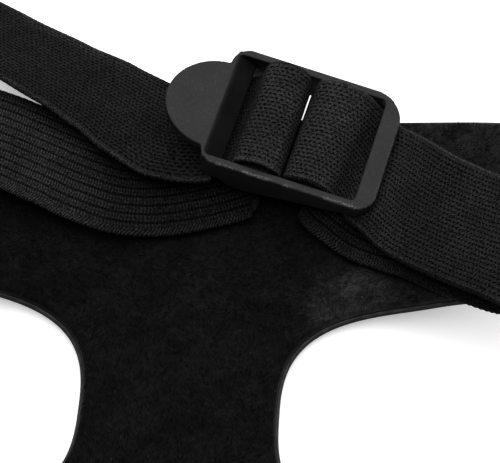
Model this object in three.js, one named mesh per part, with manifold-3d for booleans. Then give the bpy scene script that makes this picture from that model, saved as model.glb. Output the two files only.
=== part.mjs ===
// A face guard that lies face down: a moulded shell lined with plush, and an elastic head strap
// in two lengths that meet at a ladder-lock buckle on top of the forehead.
// Millimetres, +Z up. X runs across the face, Y to the top of the forehead, and the front is down.
import * as THREE from "three";
import { mergeVertices } from "three/addons/utils/BufferGeometryUtils.js";
import Module from "manifold-3d";

const wasm = await Module();
wasm.setup();

// Form of the guard: a sheet that is flat in the middle and bends round the head at both sides
const FLAT_HALF = 20; // half the width of the flat strip
const WRAP_RADIUS = 66; // bend of the sides
const REST_TOP = 10; // the forehead lies flat from here
const REST_BOTTOM = -12; // to here
const TOP_BEND = 110; // radius of the bend above the flat patch
const CHEEK_BEND = 206; // radius of the bend below it
const NOSE_ROOT = -45; // the nose starts to rise here
const NOSE_TIP = -86; // and is full here
const NOSE_HALF = 13; // half the width of the nose ridge
const NOSE_END_RISE = 15; // radius of the turn under the tip

// Layers, as heights above the outer face
const SHELL_THICK = 1.6;
const GAP = 0.3; // space between neighbouring pieces
const LINING_THICK = 1.4;
const GLUE_GAP = 0.4; // space between the shell and its lining
const LINING_LOW = SHELL_THICK + GLUE_GAP;
const LINING_TOP = LINING_LOW + LINING_THICK;
const LINING_SETBACK = 0.8; // the lining ends this far from the shell's edges

// Outline of one half, on the flat sheet
const TOP_EDGE = 25.2;
const CHIN_EDGE = -97; // lower edge at the middle, under the nose
const CHEEK_LOW = { u: 40, v: -104 };
const EYE = { u: 50, v: -48.5, halfWidth: 29.2, halfHeight: 25, power: 2.8 };
const WING = { u: 101, v: -26, slant: 12, half: 21, corner: 5, rise: 3, fall: 2 }; // end edge of the temple
const SLOT = { strip: 8, width: 3.6, length: 29, cut: 20 }; // strap slot, a strip away from the end edge
const CHIN_BEND = [{ u: 14, v: CHIN_EDGE }, { u: 24, v: -105 }]; // pulls the edge from chin to cheek
const JAW_BEND = [{ u: 74, v: -101 }, { u: 89, v: -74 }]; // from cheek to temple
const BROW_BEND = [{ u: 78, v: 18.5 }, { u: 50, v: 27.2 }]; // from temple to the top
const RINGS = 6; // rows of facets between an eye hole and the outline
const MERGE_DISTANCE = 1e-4;

// Elastic strap
const STRAP_WIDTH = 25.6; // 25 mm webbing, as it is knitted
const STRAP_THICK = 1.5;
const STRAP_CLEAR = STRAP_THICK / 2 + GAP; // middle of the strap to what it lies on
const ON_LINING = LINING_TOP + STRAP_CLEAR;
const ON_STRAP = ON_LINING + STRAP_THICK + GAP;
const WING_SLACK = 0.4; // the strap turns round a wing this loosely
const ON_WING = ON_LINING + WING_SLACK;

// Ladder-lock buckle, in its own frame: x from the tab to the end bar, y across, z up
const BUCKLE = { x: 20.95, y: 15.1, z: 9.9, yaw: -14, tilt: 5.5 }; // middle of the lower face
const WINDOW_LEFT = -17.6; // the opening starts here
const WINDOW_RIGHT = 16.3; // and ends here
const INNER_HALF = 13.1; // half its width
const WINDOW_CORNER = 1.2;
const RAIL_WIDTH = 1.8;
const RAIL_HEIGHT = 6.3;
const FRAME_LEFT = -18.6;
const FRAME_RIGHT = 20.6;
const FRAME_CORNER = 4.2;
const BACK_CORNER = 7; // outer corner where the back rail meets the end bar
const TAB = { y: -0.6, tip: -29.6, rootHalf: 10.9, thick: 2.2, overlap: 1, arcStart: 0.62 };
const TAB_FILLET = { startHalf: 12.9, bendOut: 0.5, bendHalf: 11.2, endOut: 1.5, endHalf: 10.3 };
const RAMP = { reach: 4.4, drop: 3.7, tipBack: 0.9, tipDrop: 0.7 }; // slope from the tab down into the window
const END_BAR = { low: 4.5, high: 6.1 };
const KEEL = 1.8; // the rails reach this far below the buckle's own level
const FRONT_KEEL = [
  { x: -13.2, z: 0 },
  { x: -10.5, z: -KEEL },
  { x: -6, z: -KEEL },
  { x: 3.5, z: 0.2 },
  { x: FRAME_RIGHT, z: 3.3 },
]; // lower edge of the front rail, over the straps
const BACK_KEEL = [
  { x: -16.6, z: 0 },
  { x: -15, z: -KEEL },
  { x: 6, z: -KEEL },
  { x: FRAME_RIGHT, z: 0.8 },
];
const CUT_PAST = 1; // a cut goes this far past the face that it opens
const BAR_HALF_THICK = 1.5;
const BAR_LEVEL = 3.1; // height of the bars' middle
const BARS = [
  { middle: -5.75, half: 3.85, rise: 2.6, roll: -3 },
  { middle: 5.8, half: 3.9, rise: 2.1, roll: 5 },
]; // rise is the slack of the strap over the bar, and roll its slope there
const LOOP_SHOULDER = 0.75; // share of the slack over the bar's ends
const LEAD_FADE = 120; // degrees round a bar over which the strap swings straight
const LOOP_STEP = 30; // degrees from one station of a loop to the next
const STEPS_PER_SPAN = 3; // sections of a strap from one station to the next
const ARC_STEPS = 8; // facets of a quarter turn
const TAB_STEPS = 24; // facets of the tab's edge

const radians = THREE.MathUtils.degToRad;

// Height of the outer face over the floor, apart from the bend of the sides
function relief(u, v) {
  const above = Math.max(v - REST_TOP, 0);
  const below = Math.max(REST_BOTTOM - v, 0);
  const cheek = below ** 2 / (2 * CHEEK_BEND);
  const nose = THREE.MathUtils.smoothstep(-v, -NOSE_ROOT, -NOSE_TIP);
  const ridge = nose * Math.exp(-((u / NOSE_HALF) ** 2));
  const tip = Math.max(NOSE_TIP - v, 0) ** 2 / (2 * NOSE_END_RISE);
  return above ** 2 / (2 * TOP_BEND) + cheek * (1 - ridge) + tip * ridge;
}

// Point of the outer face for a point of the flat sheet
function surface(u, v) {
  const out = Math.abs(u);
  const turn = Math.max(out - FLAT_HALF, 0) / WRAP_RADIUS;
  const x = Math.min(out, FLAT_HALF) + WRAP_RADIUS * Math.sin(turn);
  const z = WRAP_RADIUS * (1 - Math.cos(turn)) + relief(u, v);
  return new THREE.Vector3(Math.sign(u) * x, v, z);
}

// The two directions of the sheet at a point, and the one that points into the hollow
function sheetAxes(u, v) {
  const step = 0.05;
  const along = surface(u + step, v).sub(surface(u - step, v)).normalize();
  const up = surface(u, v + step).sub(surface(u, v - step)).normalize();
  return { along, up, inward: along.clone().cross(up).normalize() };
}

function raised(u, v, height) {
  return surface(u, v).addScaledVector(sheetAxes(u, v).inward, height);
}

// Flat point of a wing: out is measured from the end edge, side is 1 or -1
function wingFlat(side, out, across = 0) {
  const slant = radians(WING.slant);
  const u = WING.u + out * Math.cos(slant) + across * Math.sin(slant);
  const v = WING.v - out * Math.sin(slant) + across * Math.cos(slant);
  return new THREE.Vector2(side * u, v);
}

function bentEdge(from, pulls, to) {
  const [first, second] = pulls.map(({ u, v }) => new THREE.Vector2(u, v));
  return new THREE.CubicBezierCurve(from, first, second, to);
}

// Outline of the right half, anticlockwise from the lower end of the middle line
function halfOutline() {
  const upper = wingFlat(1, 0, WING.half);
  const lower = wingFlat(1, 0, -WING.half);
  const endTop = wingFlat(1, 0, WING.half - WING.corner);
  const endLow = wingFlat(1, 0, WING.corner - WING.half);
  const topRun = new THREE.Vector2(upper.x - WING.corner, upper.y + WING.rise);
  const lowRun = new THREE.Vector2(lower.x - WING.fall, lower.y - WING.corner);
  const top = new THREE.Vector2(0, TOP_EDGE);
  const chin = new THREE.Vector2(0, CHIN_EDGE);
  const cheek = new THREE.Vector2(CHEEK_LOW.u, CHEEK_LOW.v);
  const pieces = [
    { curve: bentEdge(chin, CHIN_BEND, cheek), parts: 7 },
    { curve: bentEdge(cheek, JAW_BEND, lowRun), parts: 11 },
    { curve: new THREE.QuadraticBezierCurve(lowRun, lower, endLow), parts: 3 },
    { curve: new THREE.LineCurve(endLow, endTop), parts: 5 },
    { curve: new THREE.QuadraticBezierCurve(endTop, upper, topRun), parts: 3 },
    { curve: bentEdge(topRun, BROW_BEND, top), parts: 13 },
    { curve: new THREE.LineCurve(top, chin), parts: 17 },
  ];
  return pieces.flatMap(({ curve, parts }) => curve.getSpacedPoints(parts).slice(0, -1));
}

// Flat points of one half in rings, from the edge of the eye hole to the outline
function halfRings(setback) {
  const eye = new THREE.Vector2(EYE.u, EYE.v);
  return halfOutline().map((outer) => {
    const ray = outer.clone().sub(eye);
    const reach = ray.length();
    const cos = Math.abs(ray.x / reach / EYE.halfWidth) ** EYE.power;
    const sin = Math.abs(ray.y / reach / EYE.halfHeight) ** EYE.power;
    const hole = (cos + sin) ** (-1 / EYE.power);
    const onMiddle = outer.x === 0;
    const first = (hole + setback) / reach;
    const last = 1 - setback / reach;
    return Array.from({ length: RINGS + 1 }, (_, ring) => {
      const point = eye.clone().addScaledVector(ray, THREE.MathUtils.lerp(first, last, ring / RINGS));
      const closing = onMiddle && ring === RINGS;
      return { u: closing ? 0 : point.x, v: point.y, onMiddle: closing };
    });
  });
}

// A closed layer of the guard between two heights over the outer face
function guardLayer(low, high, setback) {
  const columns = halfRings(setback);
  const count = columns.length;
  const positions = [];
  const index = [];
  const vertex = (side, face, ring, column) =>
    ((side * 2 + face) * (RINGS + 1) + ring) * count + (column % count);
  const quad = (a, b, c, d, turned) => index.push(...(turned ? [a, c, b, a, d, c] : [a, b, c, a, c, d]));
  for (const sign of [1, -1])
    for (const height of [low, high])
      for (let ring = 0; ring <= RINGS; ring++)
        for (const column of columns) {
          const { u, v } = column[ring];
          positions.push(...raised(sign * u, v, height).toArray());
        }
  for (const side of [0, 1])
    for (let column = 0; column < count; column++) {
      const at = (face, ring, step) => vertex(side, face, ring, column + step);
      for (let ring = 0; ring < RINGS; ring++) {
        quad(at(1, ring, 0), at(1, ring + 1, 0), at(1, ring + 1, 1), at(1, ring, 1), side === 1);
        quad(at(0, ring, 0), at(0, ring + 1, 0), at(0, ring + 1, 1), at(0, ring, 1), side === 0);
      }
      quad(at(0, 0, 0), at(1, 0, 0), at(1, 0, 1), at(0, 0, 1), side === 1);
      const next = columns[(column + 1) % count];
      if (columns[column][RINGS].onMiddle && next[RINGS].onMiddle) continue;
      quad(at(0, RINGS, 0), at(0, RINGS, 1), at(1, RINGS, 1), at(1, RINGS, 0), side === 1);
    }
  const geometry = new THREE.BufferGeometry();
  geometry.setAttribute("position", new THREE.Float32BufferAttribute(positions, 3));
  geometry.setIndex(index);
  return geometry;
}

// Closed geometry to a solid that can be joined and cut, and back
function solid(geometry) {
  const bare = geometry.clone();
  bare.deleteAttribute("normal");
  bare.deleteAttribute("uv");
  const merged = mergeVertices(bare, MERGE_DISTANCE);
  const vertProperties = new Float32Array(merged.attributes.position.array);
  const triVerts = new Uint32Array(merged.index.array);
  return new wasm.Manifold(new wasm.Mesh({ numProp: 3, vertProperties, triVerts }));
}

function meshGeometry(body) {
  const { vertProperties, triVerts } = body.getMesh();
  const geometry = new THREE.BufferGeometry();
  geometry.setAttribute("position", new THREE.Float32BufferAttribute(vertProperties, 3));
  geometry.setIndex(Array.from(triVerts));
  return geometry;
}

// Box that cuts the strap slot of one wing
function slotCutter(side) {
  const out = -SLOT.strip - SLOT.width / 2;
  const flat = wingFlat(side, out);
  const { along, up, inward } = sheetAxes(flat.x, flat.y);
  const slant = radians(side * WING.slant);
  const across = up.clone().multiplyScalar(Math.cos(slant)).addScaledVector(along, Math.sin(slant));
  const outward = across.clone().cross(inward).normalize();
  const placed = new THREE.Matrix4().makeBasis(outward, across, inward);
  placed.setPosition(surface(flat.x, flat.y));
  return solid(new THREE.BoxGeometry(SLOT.width, SLOT.length, SLOT.cut).applyMatrix4(placed));
}

function slottedLayer(low, high, setback) {
  const body = solid(guardLayer(low, high, setback));
  return meshGeometry(body.subtract(slotCutter(1)).subtract(slotCutter(-1)));
}

// Frame of the buckle
const buckleSeat = new THREE.Group();
buckleSeat.position.set(BUCKLE.x, BUCKLE.y, BUCKLE.z);
buckleSeat.rotation.set(0, radians(BUCKLE.tilt), radians(BUCKLE.yaw), "ZYX");
buckleSeat.updateMatrixWorld(true);

function block(x0, x1, halfY, z0, z1) {
  const box = new THREE.BoxGeometry(x1 - x0, 2 * halfY, z1 - z0);
  return solid(box.translate((x0 + x1) / 2, 0, (z0 + z1) / 2));
}

function extruded(shape, depth, curveSegments) {
  return new THREE.ExtrudeGeometry(shape, { depth, curveSegments, bevelEnabled: false });
}

function roundedPlate(x0, x1, halfY, corner, z0, z1, backCorner = corner) {
  const shape = new THREE.Shape();
  shape.absarc(x1 - corner, corner - halfY, corner, -Math.PI / 2, 0);
  shape.absarc(x1 - backCorner, halfY - backCorner, backCorner, 0, Math.PI / 2);
  shape.absarc(x0 + corner, halfY - corner, corner, Math.PI / 2, Math.PI);
  shape.absarc(x0 + corner, corner - halfY, corner, Math.PI, 1.5 * Math.PI);
  return solid(extruded(shape, z1 - z0, ARC_STEPS).translate(0, 0, z0));
}

// Round thumb tab, with hollow corners where it grows out of the frame
function tabPlate() {
  const { startHalf, bendOut, bendHalf, endOut, endHalf } = TAB_FILLET;
  const root = FRAME_LEFT + TAB.overlap;
  const reach = root - TAB.tip;
  const arcEnd = 2 - TAB.arcStart;
  const shape = new THREE.Shape();
  shape.moveTo(root, -startHalf);
  shape.lineTo(root, startHalf);
  shape.quadraticCurveTo(FRAME_LEFT - bendOut, bendHalf, FRAME_LEFT - endOut, endHalf);
  shape.absellipse(root, 0, reach, TAB.rootHalf, TAB.arcStart * Math.PI, arcEnd * Math.PI);
  shape.quadraticCurveTo(FRAME_LEFT - bendOut, -bendHalf, root, -startHalf);
  const plate = extruded(shape, TAB.thick, TAB_STEPS);
  return solid(plate.translate(0, TAB.y, RAIL_HEIGHT - TAB.thick));
}

// Flat bar with round edges from rail to rail
function crossBar({ middle, half }) {
  const flat = half - BAR_HALF_THICK;
  const shape = new THREE.Shape();
  shape.absarc(middle + flat, 0, BAR_HALF_THICK, -Math.PI / 2, Math.PI / 2);
  shape.absarc(middle - flat, 0, BAR_HALF_THICK, Math.PI / 2, 1.5 * Math.PI);
  const length = 2 * INNER_HALF + RAIL_WIDTH;
  const bar = extruded(shape, length, ARC_STEPS).translate(0, 0, -length / 2);
  return solid(bar.rotateX(Math.PI / 2).translate(0, 0, BAR_LEVEL));
}

// Slope from the inner edge of the tab down into the window, from rail to rail
function rampPlate() {
  const root = (FRAME_LEFT + WINDOW_LEFT) / 2;
  const tip = WINDOW_LEFT + RAMP.reach;
  const tipTop = RAIL_HEIGHT - RAMP.drop;
  const shape = new THREE.Shape();
  shape.moveTo(root, RAIL_HEIGHT);
  shape.lineTo(root, RAIL_HEIGHT - TAB.thick);
  shape.lineTo(tip - RAMP.tipBack, tipTop - RAMP.tipDrop);
  shape.lineTo(tip, tipTop);
  shape.lineTo(WINDOW_LEFT, RAIL_HEIGHT);
  const length = 2 * INNER_HALF + RAIL_WIDTH;
  const ramp = extruded(shape, length, 1).translate(0, 0, -length / 2);
  const outerHalf = INNER_HALF + RAIL_WIDTH;
  const inFrame = roundedPlate(FRAME_LEFT, FRAME_RIGHT, outerHalf, FRAME_CORNER, -KEEL, RAIL_HEIGHT);
  return solid(ramp.rotateX(Math.PI / 2)).intersect(inFrame);
}

// Cuts away what lies below the lower edge of the back rail, side 1, or of the front rail, side -1
function keelCutter(side, edge) {
  const left = FRAME_LEFT - CUT_PAST;
  const right = FRAME_RIGHT + CUT_PAST;
  const bottom = -KEEL - CUT_PAST;
  const shape = new THREE.Shape();
  shape.moveTo(left, edge[0].z);
  for (const { x, z } of edge) shape.lineTo(x, z);
  shape.lineTo(right, edge.at(-1).z);
  shape.lineTo(right, bottom);
  shape.lineTo(left, bottom);
  const depth = INNER_HALF + RAIL_WIDTH + CUT_PAST;
  const cut = extruded(shape, depth, 1).rotateX(Math.PI / 2);
  return solid(cut.translate(0, side > 0 ? depth : 0, 0));
}

function buckleGeometry() {
  const outerHalf = INNER_HALF + RAIL_WIDTH;
  const tabBottom = RAIL_HEIGHT - TAB.thick;
  const left = FRAME_LEFT - CUT_PAST;
  const right = FRAME_RIGHT + CUT_PAST;
  const under = -KEEL - CUT_PAST;
  const over = RAIL_HEIGHT + CUT_PAST;
  const beforeEnd = WINDOW_RIGHT - CUT_PAST;
  const body = roundedPlate(FRAME_LEFT, FRAME_RIGHT, outerHalf, FRAME_CORNER, -KEEL, RAIL_HEIGHT, BACK_CORNER)
    .subtract(roundedPlate(WINDOW_LEFT, WINDOW_RIGHT, INNER_HALF, WINDOW_CORNER, under, over))
    .subtract(block(left, WINDOW_LEFT + CUT_PAST, INNER_HALF, under, tabBottom))
    .subtract(block(beforeEnd, right, INNER_HALF, under, END_BAR.low))
    .subtract(block(beforeEnd, right, INNER_HALF, END_BAR.high, over))
    .subtract(keelCutter(1, BACK_KEEL))
    .subtract(keelCutter(-1, FRONT_KEEL))
    .add(tabPlate())
    .add(rampPlate())
    .add(crossBar(BARS[0]))
    .add(crossBar(BARS[1]));
  return meshGeometry(body);
}

// Stations of a strap: the middle of its section, the direction that its width keeps closest to,
// and a roll round its run. A turn swings that direction round the vertical.
function freeStations(rows) {
  return rows.map(({ x, y, z, turn = 0, roll = 0 }) => ({
    at: new THREE.Vector3(x, y, z),
    across: new THREE.Vector3(-Math.sin(radians(turn)), Math.cos(radians(turn)), 0),
    roll,
  }));
}

function lyingStations(rows) {
  return rows.map(({ u, v, height, roll = 0 }) => ({
    at: raised(u, v, height),
    across: sheetAxes(u, v).up,
    roll,
  }));
}

function wingStations(side, rows) {
  const slant = radians(side * WING.slant);
  return rows.map(({ out, height }) => {
    const flat = wingFlat(side, out);
    const { along, up } = sheetAxes(flat.x, flat.y);
    const across = up.clone().multiplyScalar(Math.cos(slant)).addScaledVector(along, Math.sin(slant));
    return { at: raised(flat.x, flat.y, height), across, roll: 0 };
  });
}

function buckleStations(rows) {
  return rows.map(({ x, y = 0, z, skew = 0, roll = 0 }) => {
    const across = new THREE.Vector3(Math.sin(radians(skew)), Math.cos(radians(skew)), 0);
    return {
      at: buckleSeat.localToWorld(new THREE.Vector3(x, y, z)),
      across: across.transformDirection(buckleSeat.matrixWorld),
      roll,
      sheared: true,
    };
  });
}

// Middle of the strap at an angle round one end of a bar, with slack over the top
function roundBar({ middle, half, rise, roll }, end, angle) {
  const radius = BAR_HALF_THICK + STRAP_CLEAR;
  const up = Math.sin(radians(angle));
  const over = Math.max(up, 0);
  return {
    x: middle + end * (half - BAR_HALF_THICK + radius * Math.cos(radians(angle))),
    z: BAR_LEVEL + radius * up + rise * LOOP_SHOULDER * over,
    roll: roll * over ** 3,
  };
}

// Turn from under one end of a bar to the middle of its top. The strap comes in aside and askew by its
// lead, which fades out on the way, and goes askew the other way over the top.
function turnUp(bar, end, { y = 0, topSkew = 0, leadY = 0, leadSkew = 0 }) {
  const rows = [];
  for (let angle = -90; angle <= 90; angle += LOOP_STEP) {
    const lead = Math.max(0, -angle / LEAD_FADE);
    const skew = leadSkew * lead + topSkew * Math.max(0, Math.sin(radians(angle)));
    rows.push({ ...roundBar(bar, end, angle), y: y + leadY * lead, skew });
  }
  const crest = BAR_LEVEL + BAR_HALF_THICK + STRAP_CLEAR + bar.rise;
  rows.push({ x: bar.middle, y, z: crest, skew: topSkew, roll: bar.roll });
  return rows;
}

// The rest of a loop, from the top down to the side of the bar
function turnDown(bar, end, y) {
  const rows = [];
  for (let angle = 90; angle >= 0; angle -= LOOP_STEP) rows.push({ ...roundBar(bar, end, angle), y });
  return rows;
}

// Direction of the strap's width at each station, square to its run unless it is sheared
function widthDirections(stations, middle, spans) {
  return stations.map(({ across, roll, sheared }, i) => {
    const along = middle.getTangent(i / spans);
    const width = across.clone();
    if (!sheared) width.addScaledVector(along, -width.dot(along)).normalize();
    return width.applyAxisAngle(along, radians(roll));
  });
}

// A flat strap swept through its stations
function strapGeometry(stations, closed) {
  const middle = new THREE.CatmullRomCurve3(stations.map((s) => s.at), closed, "centripetal");
  const spans = closed ? stations.length : stations.length - 1;
  const widths = widthDirections(stations, middle, spans);
  const steps = spans * STEPS_PER_SPAN;
  const sections = closed ? steps : steps + 1;
  const positions = [];
  for (let i = 0; i < sections; i++) {
    const t = i / steps;
    const station = Math.floor(i / STEPS_PER_SPAN);
    const share = (i % STEPS_PER_SPAN) / STEPS_PER_SPAN;
    const next = widths[(station + 1) % stations.length];
    const across = widths[station].clone().lerp(next, share).normalize();
    const out = middle.getTangent(t).cross(across).normalize();
    for (const [w, h] of [[-1, -1], [1, -1], [1, 1], [-1, 1]]) {
      const corner = middle.getPoint(t);
      corner.addScaledVector(across, (w * STRAP_WIDTH) / 2);
      corner.addScaledVector(out, (h * STRAP_THICK) / 2);
      positions.push(...corner.toArray());
    }
  }
  const index = [];
  for (let i = 0; i < steps; i++)
    for (let k = 0; k < 4; k++) {
      const next = ((i + 1) % sections) * 4;
      const side = (k + 1) % 4;
      index.push(i * 4 + k, i * 4 + side, next + side, i * 4 + k, next + side, next + k);
    }
  if (!closed) {
    const last = (sections - 1) * 4;
    index.push(0, 2, 1, 0, 3, 2, last, last + 1, last + 2, last, last + 2, last + 3);
  }
  const geometry = new THREE.BufferGeometry();
  geometry.setAttribute("position", new THREE.Float32BufferAttribute(positions, 3));
  geometry.setIndex(index);
  return geometry;
}

// Left strap: sewn end, round the wing's strip, arch, forehead, first bar, free tail
const LEFT_WING = [
  { out: 15, height: 3.8 },
  { out: 9, height: 3.6 },
  { out: 4, height: 4 },
  { out: 0, height: ON_WING },
  { out: -4, height: ON_WING },
  { out: -SLOT.strip, height: ON_WING },
  { out: -SLOT.strip - 1, height: LINING_TOP + 0.9 },
  { out: -SLOT.strip - 1.4, height: LINING_TOP - 0.4 },
  { out: -SLOT.strip - 1.3, height: 0 },
  { out: -SLOT.strip - 0.8, height: -0.8 },
  { out: -SLOT.strip, height: -STRAP_CLEAR },
  { out: -4, height: -STRAP_CLEAR },
  { out: 0, height: -STRAP_CLEAR },
  { out: 4, height: 0.2 },
  { out: 9, height: 1.2 },
  { out: 14, height: 1.4 },
];
const LEFT_ARCH = [
  { x: -90, y: -28.5, z: 66, turn: 8 },
  { x: -91.5, y: -25.5, z: 75, turn: 30 },
  { x: -90, y: -18.5, z: 82.5, turn: 52 },
  { x: -85.5, y: -9, z: 86, turn: 58 },
  { x: -79.5, y: 0.5, z: 83, turn: 54 },
  { x: -74.5, y: 8, z: 74.5, turn: 46 },
  { x: -70, y: 13, z: 61.5, turn: 34 },
  { x: -66, y: 16, z: 46.5, turn: 20 },
  { x: -60.8, y: 16.4, z: 31, turn: 8, roll: -2 },
  { x: -53.5, y: 12.8, z: 17, roll: -6 },
];
const LEFT_LYING = [
  { u: -43, v: 10.3, height: ON_LINING + 2.7, roll: -7 },
  { u: -34, v: 8.5, height: ON_LINING + 2.4, roll: -7 },
  { u: -25, v: 6.2, height: ON_LINING + 1.9, roll: -5 },
  { u: -16, v: 4.3, height: ON_LINING + 1.2, roll: -3 },
  { u: -8, v: 4.9, height: ON_LINING + 0.8 },
  { u: 0, v: 7, height: ON_LINING + 0.8, roll: 1 },
  { u: 7, v: 9.4, height: ON_LINING + 1.1, roll: 3 },
];
const LEFT_UNDER_BUCKLE = [
  { x: -7, y: -5, z: -3.8, skew: -15, roll: 4 },
  { x: -5.4, y: -0.35, z: -2.6, skew: -8, roll: 2 },
];
const LEFT_LOOP = { y: 0.1, topSkew: -1, leadY: -0.1, leadSkew: -3 };
const TAIL_IN_SLOT = [
  { x: -11.4, y: 0.1, z: 1.3 },
  { x: -12.9, y: -0.1, z: -0.3, skew: 1 },
  { x: -15.6, y: -0.5, z: -1.3, skew: 2 },
];
const LEFT_TAIL = [
  { x: 0.5, y: 16, z: 9.5, roll: 2 },
  { x: -7, y: 16.5, z: 8.4, roll: 8 },
  { x: -14, y: 20.4, z: 7.5, roll: 15 },
  { x: -22, y: 25.8, z: 7.2, roll: 18 },
  { x: -32, y: 30.9, z: 8, roll: 21 },
  { x: -44, y: 36, z: 10.4, roll: 24 },
  { x: -56, y: 41.6, z: 12, roll: 26 },
];

// Right strap: closed loop round the second bar and the wing's strip
const RIGHT_LOOP = { topSkew: 3 };
const RIGHT_TOP = [
  { x: 8.8, z: 7.1, skew: 3, roll: 4.5 },
  { x: 11.4, z: 5.5, skew: 3, roll: 4 },
  { x: 13.4, z: 3.2, skew: 3, roll: 5 },
  { x: 15, y: -0.3, z: 1.8, skew: 5, roll: 6 },
  { x: 16.8, y: -1.7, z: 1.6, skew: 10, roll: 8 },
  { x: 18.8, y: -3.1, z: 2.1, skew: 16, roll: 9 },
  { x: 21.6, y: -4.6, z: 3.7, skew: 22, roll: 12 },
];
const RIGHT_UPPER_LYING = [
  { u: 54, v: -2.9, height: ON_STRAP + 3.2, roll: 1 },
  { u: 67, v: -10.9, height: ON_STRAP + 3, roll: -5 },
  { u: 79, v: -17.7, height: ON_STRAP + 2.3, roll: -5 },
];
const RIGHT_WING = [
  { out: -13, height: ON_STRAP + 0.9 },
  { out: -8, height: 6.4 },
  { out: -4, height: 5.6 },
  { out: 0, height: ON_WING },
  { out: 0.9, height: LINING_TOP + 0.9 },
  { out: STRAP_CLEAR + 0.2, height: LINING_TOP },
  { out: STRAP_CLEAR + 0.2, height: 0 },
  { out: 0.9, height: -0.75 },
  { out: 0, height: -STRAP_CLEAR },
  { out: -4, height: -STRAP_CLEAR },
  { out: -SLOT.strip, height: -STRAP_CLEAR },
  { out: -SLOT.strip - 1, height: -0.7 },
  { out: -SLOT.strip - 1.5, height: 0.4 },
  { out: -SLOT.strip - 1.8, height: 2 },
  { out: -SLOT.strip - 2.3, height: 3.8 },
  { out: -SLOT.strip - 4, height: 4.9 },
];
const RIGHT_LOWER_LYING = [
  { u: 79, v: -19.8, height: ON_LINING + 0.8 },
  { u: 67, v: -13.2, height: ON_LINING + 0.8 },
  { u: 54, v: -5.9, height: ON_LINING + 0.8 },
  { u: 42, v: -0.6, height: ON_LINING + 0.9, roll: -2 },
];
const RIGHT_UNDER_BUCKLE = [
  { x: 14.8, y: -7.4, z: -1.1, skew: 26, roll: -8.5 },
  { x: 10.8, y: -4.8, z: -1.9, skew: 22, roll: -5 },
  { x: 7.4, y: -0.8, z: -1.4, skew: 9, roll: -1 },
];

const leftStations = [
  ...wingStations(-1, LEFT_WING),
  ...freeStations(LEFT_ARCH),
  ...lyingStations(LEFT_LYING),
  ...buckleStations(LEFT_UNDER_BUCKLE),
  ...buckleStations(turnUp(BARS[0], 1, LEFT_LOOP)),
  ...buckleStations(turnDown(BARS[0], -1, LEFT_LOOP.y)),
  ...buckleStations(TAIL_IN_SLOT),
  ...freeStations(LEFT_TAIL),
];
const rightStations = [
  ...buckleStations([...turnUp(BARS[1], -1, RIGHT_LOOP), ...RIGHT_TOP]),
  ...lyingStations(RIGHT_UPPER_LYING),
  ...wingStations(1, RIGHT_WING),
  ...lyingStations(RIGHT_LOWER_LYING),
  ...buckleStations(RIGHT_UNDER_BUCKLE),
];

// Materials and scene graph
const shellPlastic = new THREE.MeshStandardMaterial({ color: 0x101011, roughness: 0.7, metalness: 0 });
const plush = new THREE.MeshStandardMaterial({ color: 0x141416, roughness: 0.95, metalness: 0 });
const elastic = new THREE.MeshStandardMaterial({ color: 0x1f1f20, roughness: 0.9, metalness: 0 });
const bucklePlastic = new THREE.MeshStandardMaterial({ color: 0x36373a, roughness: 0.55, metalness: 0 });

function piece(name, geometry, material) {
  const mesh = new THREE.Mesh(geometry, material);
  mesh.name = name;
  return mesh;
}

const faceGuard = new THREE.Group();
faceGuard.add(piece("shell", slottedLayer(0, SHELL_THICK, 0), shellPlastic));
faceGuard.add(piece("lining", slottedLayer(LINING_LOW, LINING_TOP, LINING_SETBACK), plush));
faceGuard.add(piece("strap_left", strapGeometry(leftStations, false), elastic));
faceGuard.add(piece("strap_right", strapGeometry(rightStations, true), elastic));
buckleSeat.add(piece("buckle", buckleGeometry(), bucklePlastic));
faceGuard.add(buckleSeat);

export default faceGuard;
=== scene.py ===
# %% [markdown]
# A face guard with an elastic head strap
#
# This lesson dresses a measured frame of a face guard. The guard lies face down, so we look into
# its plush lining, with the elastic strap and its buckle lying across the forehead.
# The frame gives every piece its place, so each piece here is made where the frame has it.

# %% Load the frame
import math

import bmesh
import bpy
import numpy as np
from mathutils import Matrix, Vector, noise


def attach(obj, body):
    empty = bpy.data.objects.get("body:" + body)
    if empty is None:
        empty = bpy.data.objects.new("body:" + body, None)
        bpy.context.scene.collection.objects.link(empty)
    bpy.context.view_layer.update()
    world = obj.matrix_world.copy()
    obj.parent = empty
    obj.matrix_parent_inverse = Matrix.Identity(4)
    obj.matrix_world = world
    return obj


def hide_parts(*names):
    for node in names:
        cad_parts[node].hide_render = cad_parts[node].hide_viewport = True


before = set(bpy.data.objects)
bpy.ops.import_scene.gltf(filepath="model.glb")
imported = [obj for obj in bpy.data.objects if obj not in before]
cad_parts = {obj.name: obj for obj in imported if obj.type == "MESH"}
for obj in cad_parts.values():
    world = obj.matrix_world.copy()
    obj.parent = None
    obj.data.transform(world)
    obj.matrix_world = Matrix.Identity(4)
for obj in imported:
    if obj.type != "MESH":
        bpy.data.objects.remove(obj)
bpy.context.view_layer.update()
MM = 0.001
print("frame nodes:", sorted(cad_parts))

# %% [markdown]
# The camera
#
# The photographer stood in front of the chin and looked down steeply. A long lens keeps the strap
# the same width all along. The camera comes first, because every later choice is judged through it.

# %% Camera
CAMERA_AZIMUTH = 3.4
CAMERA_ELEVATION = 62.0
CAMERA_DISTANCE = 420 * MM
CAMERA_TARGET = Vector((12.05, -2.65, 0)) * MM
MM_PER_PIXEL = 0.219
IMAGE_WIDTH = 500
SENSOR_WIDTH = 36.0
NEAREST_SEEN = 10 * MM


def in_scene(name, data):
    thing = bpy.data.objects.new(name, data)
    bpy.context.scene.collection.objects.link(thing)
    return thing


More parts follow.
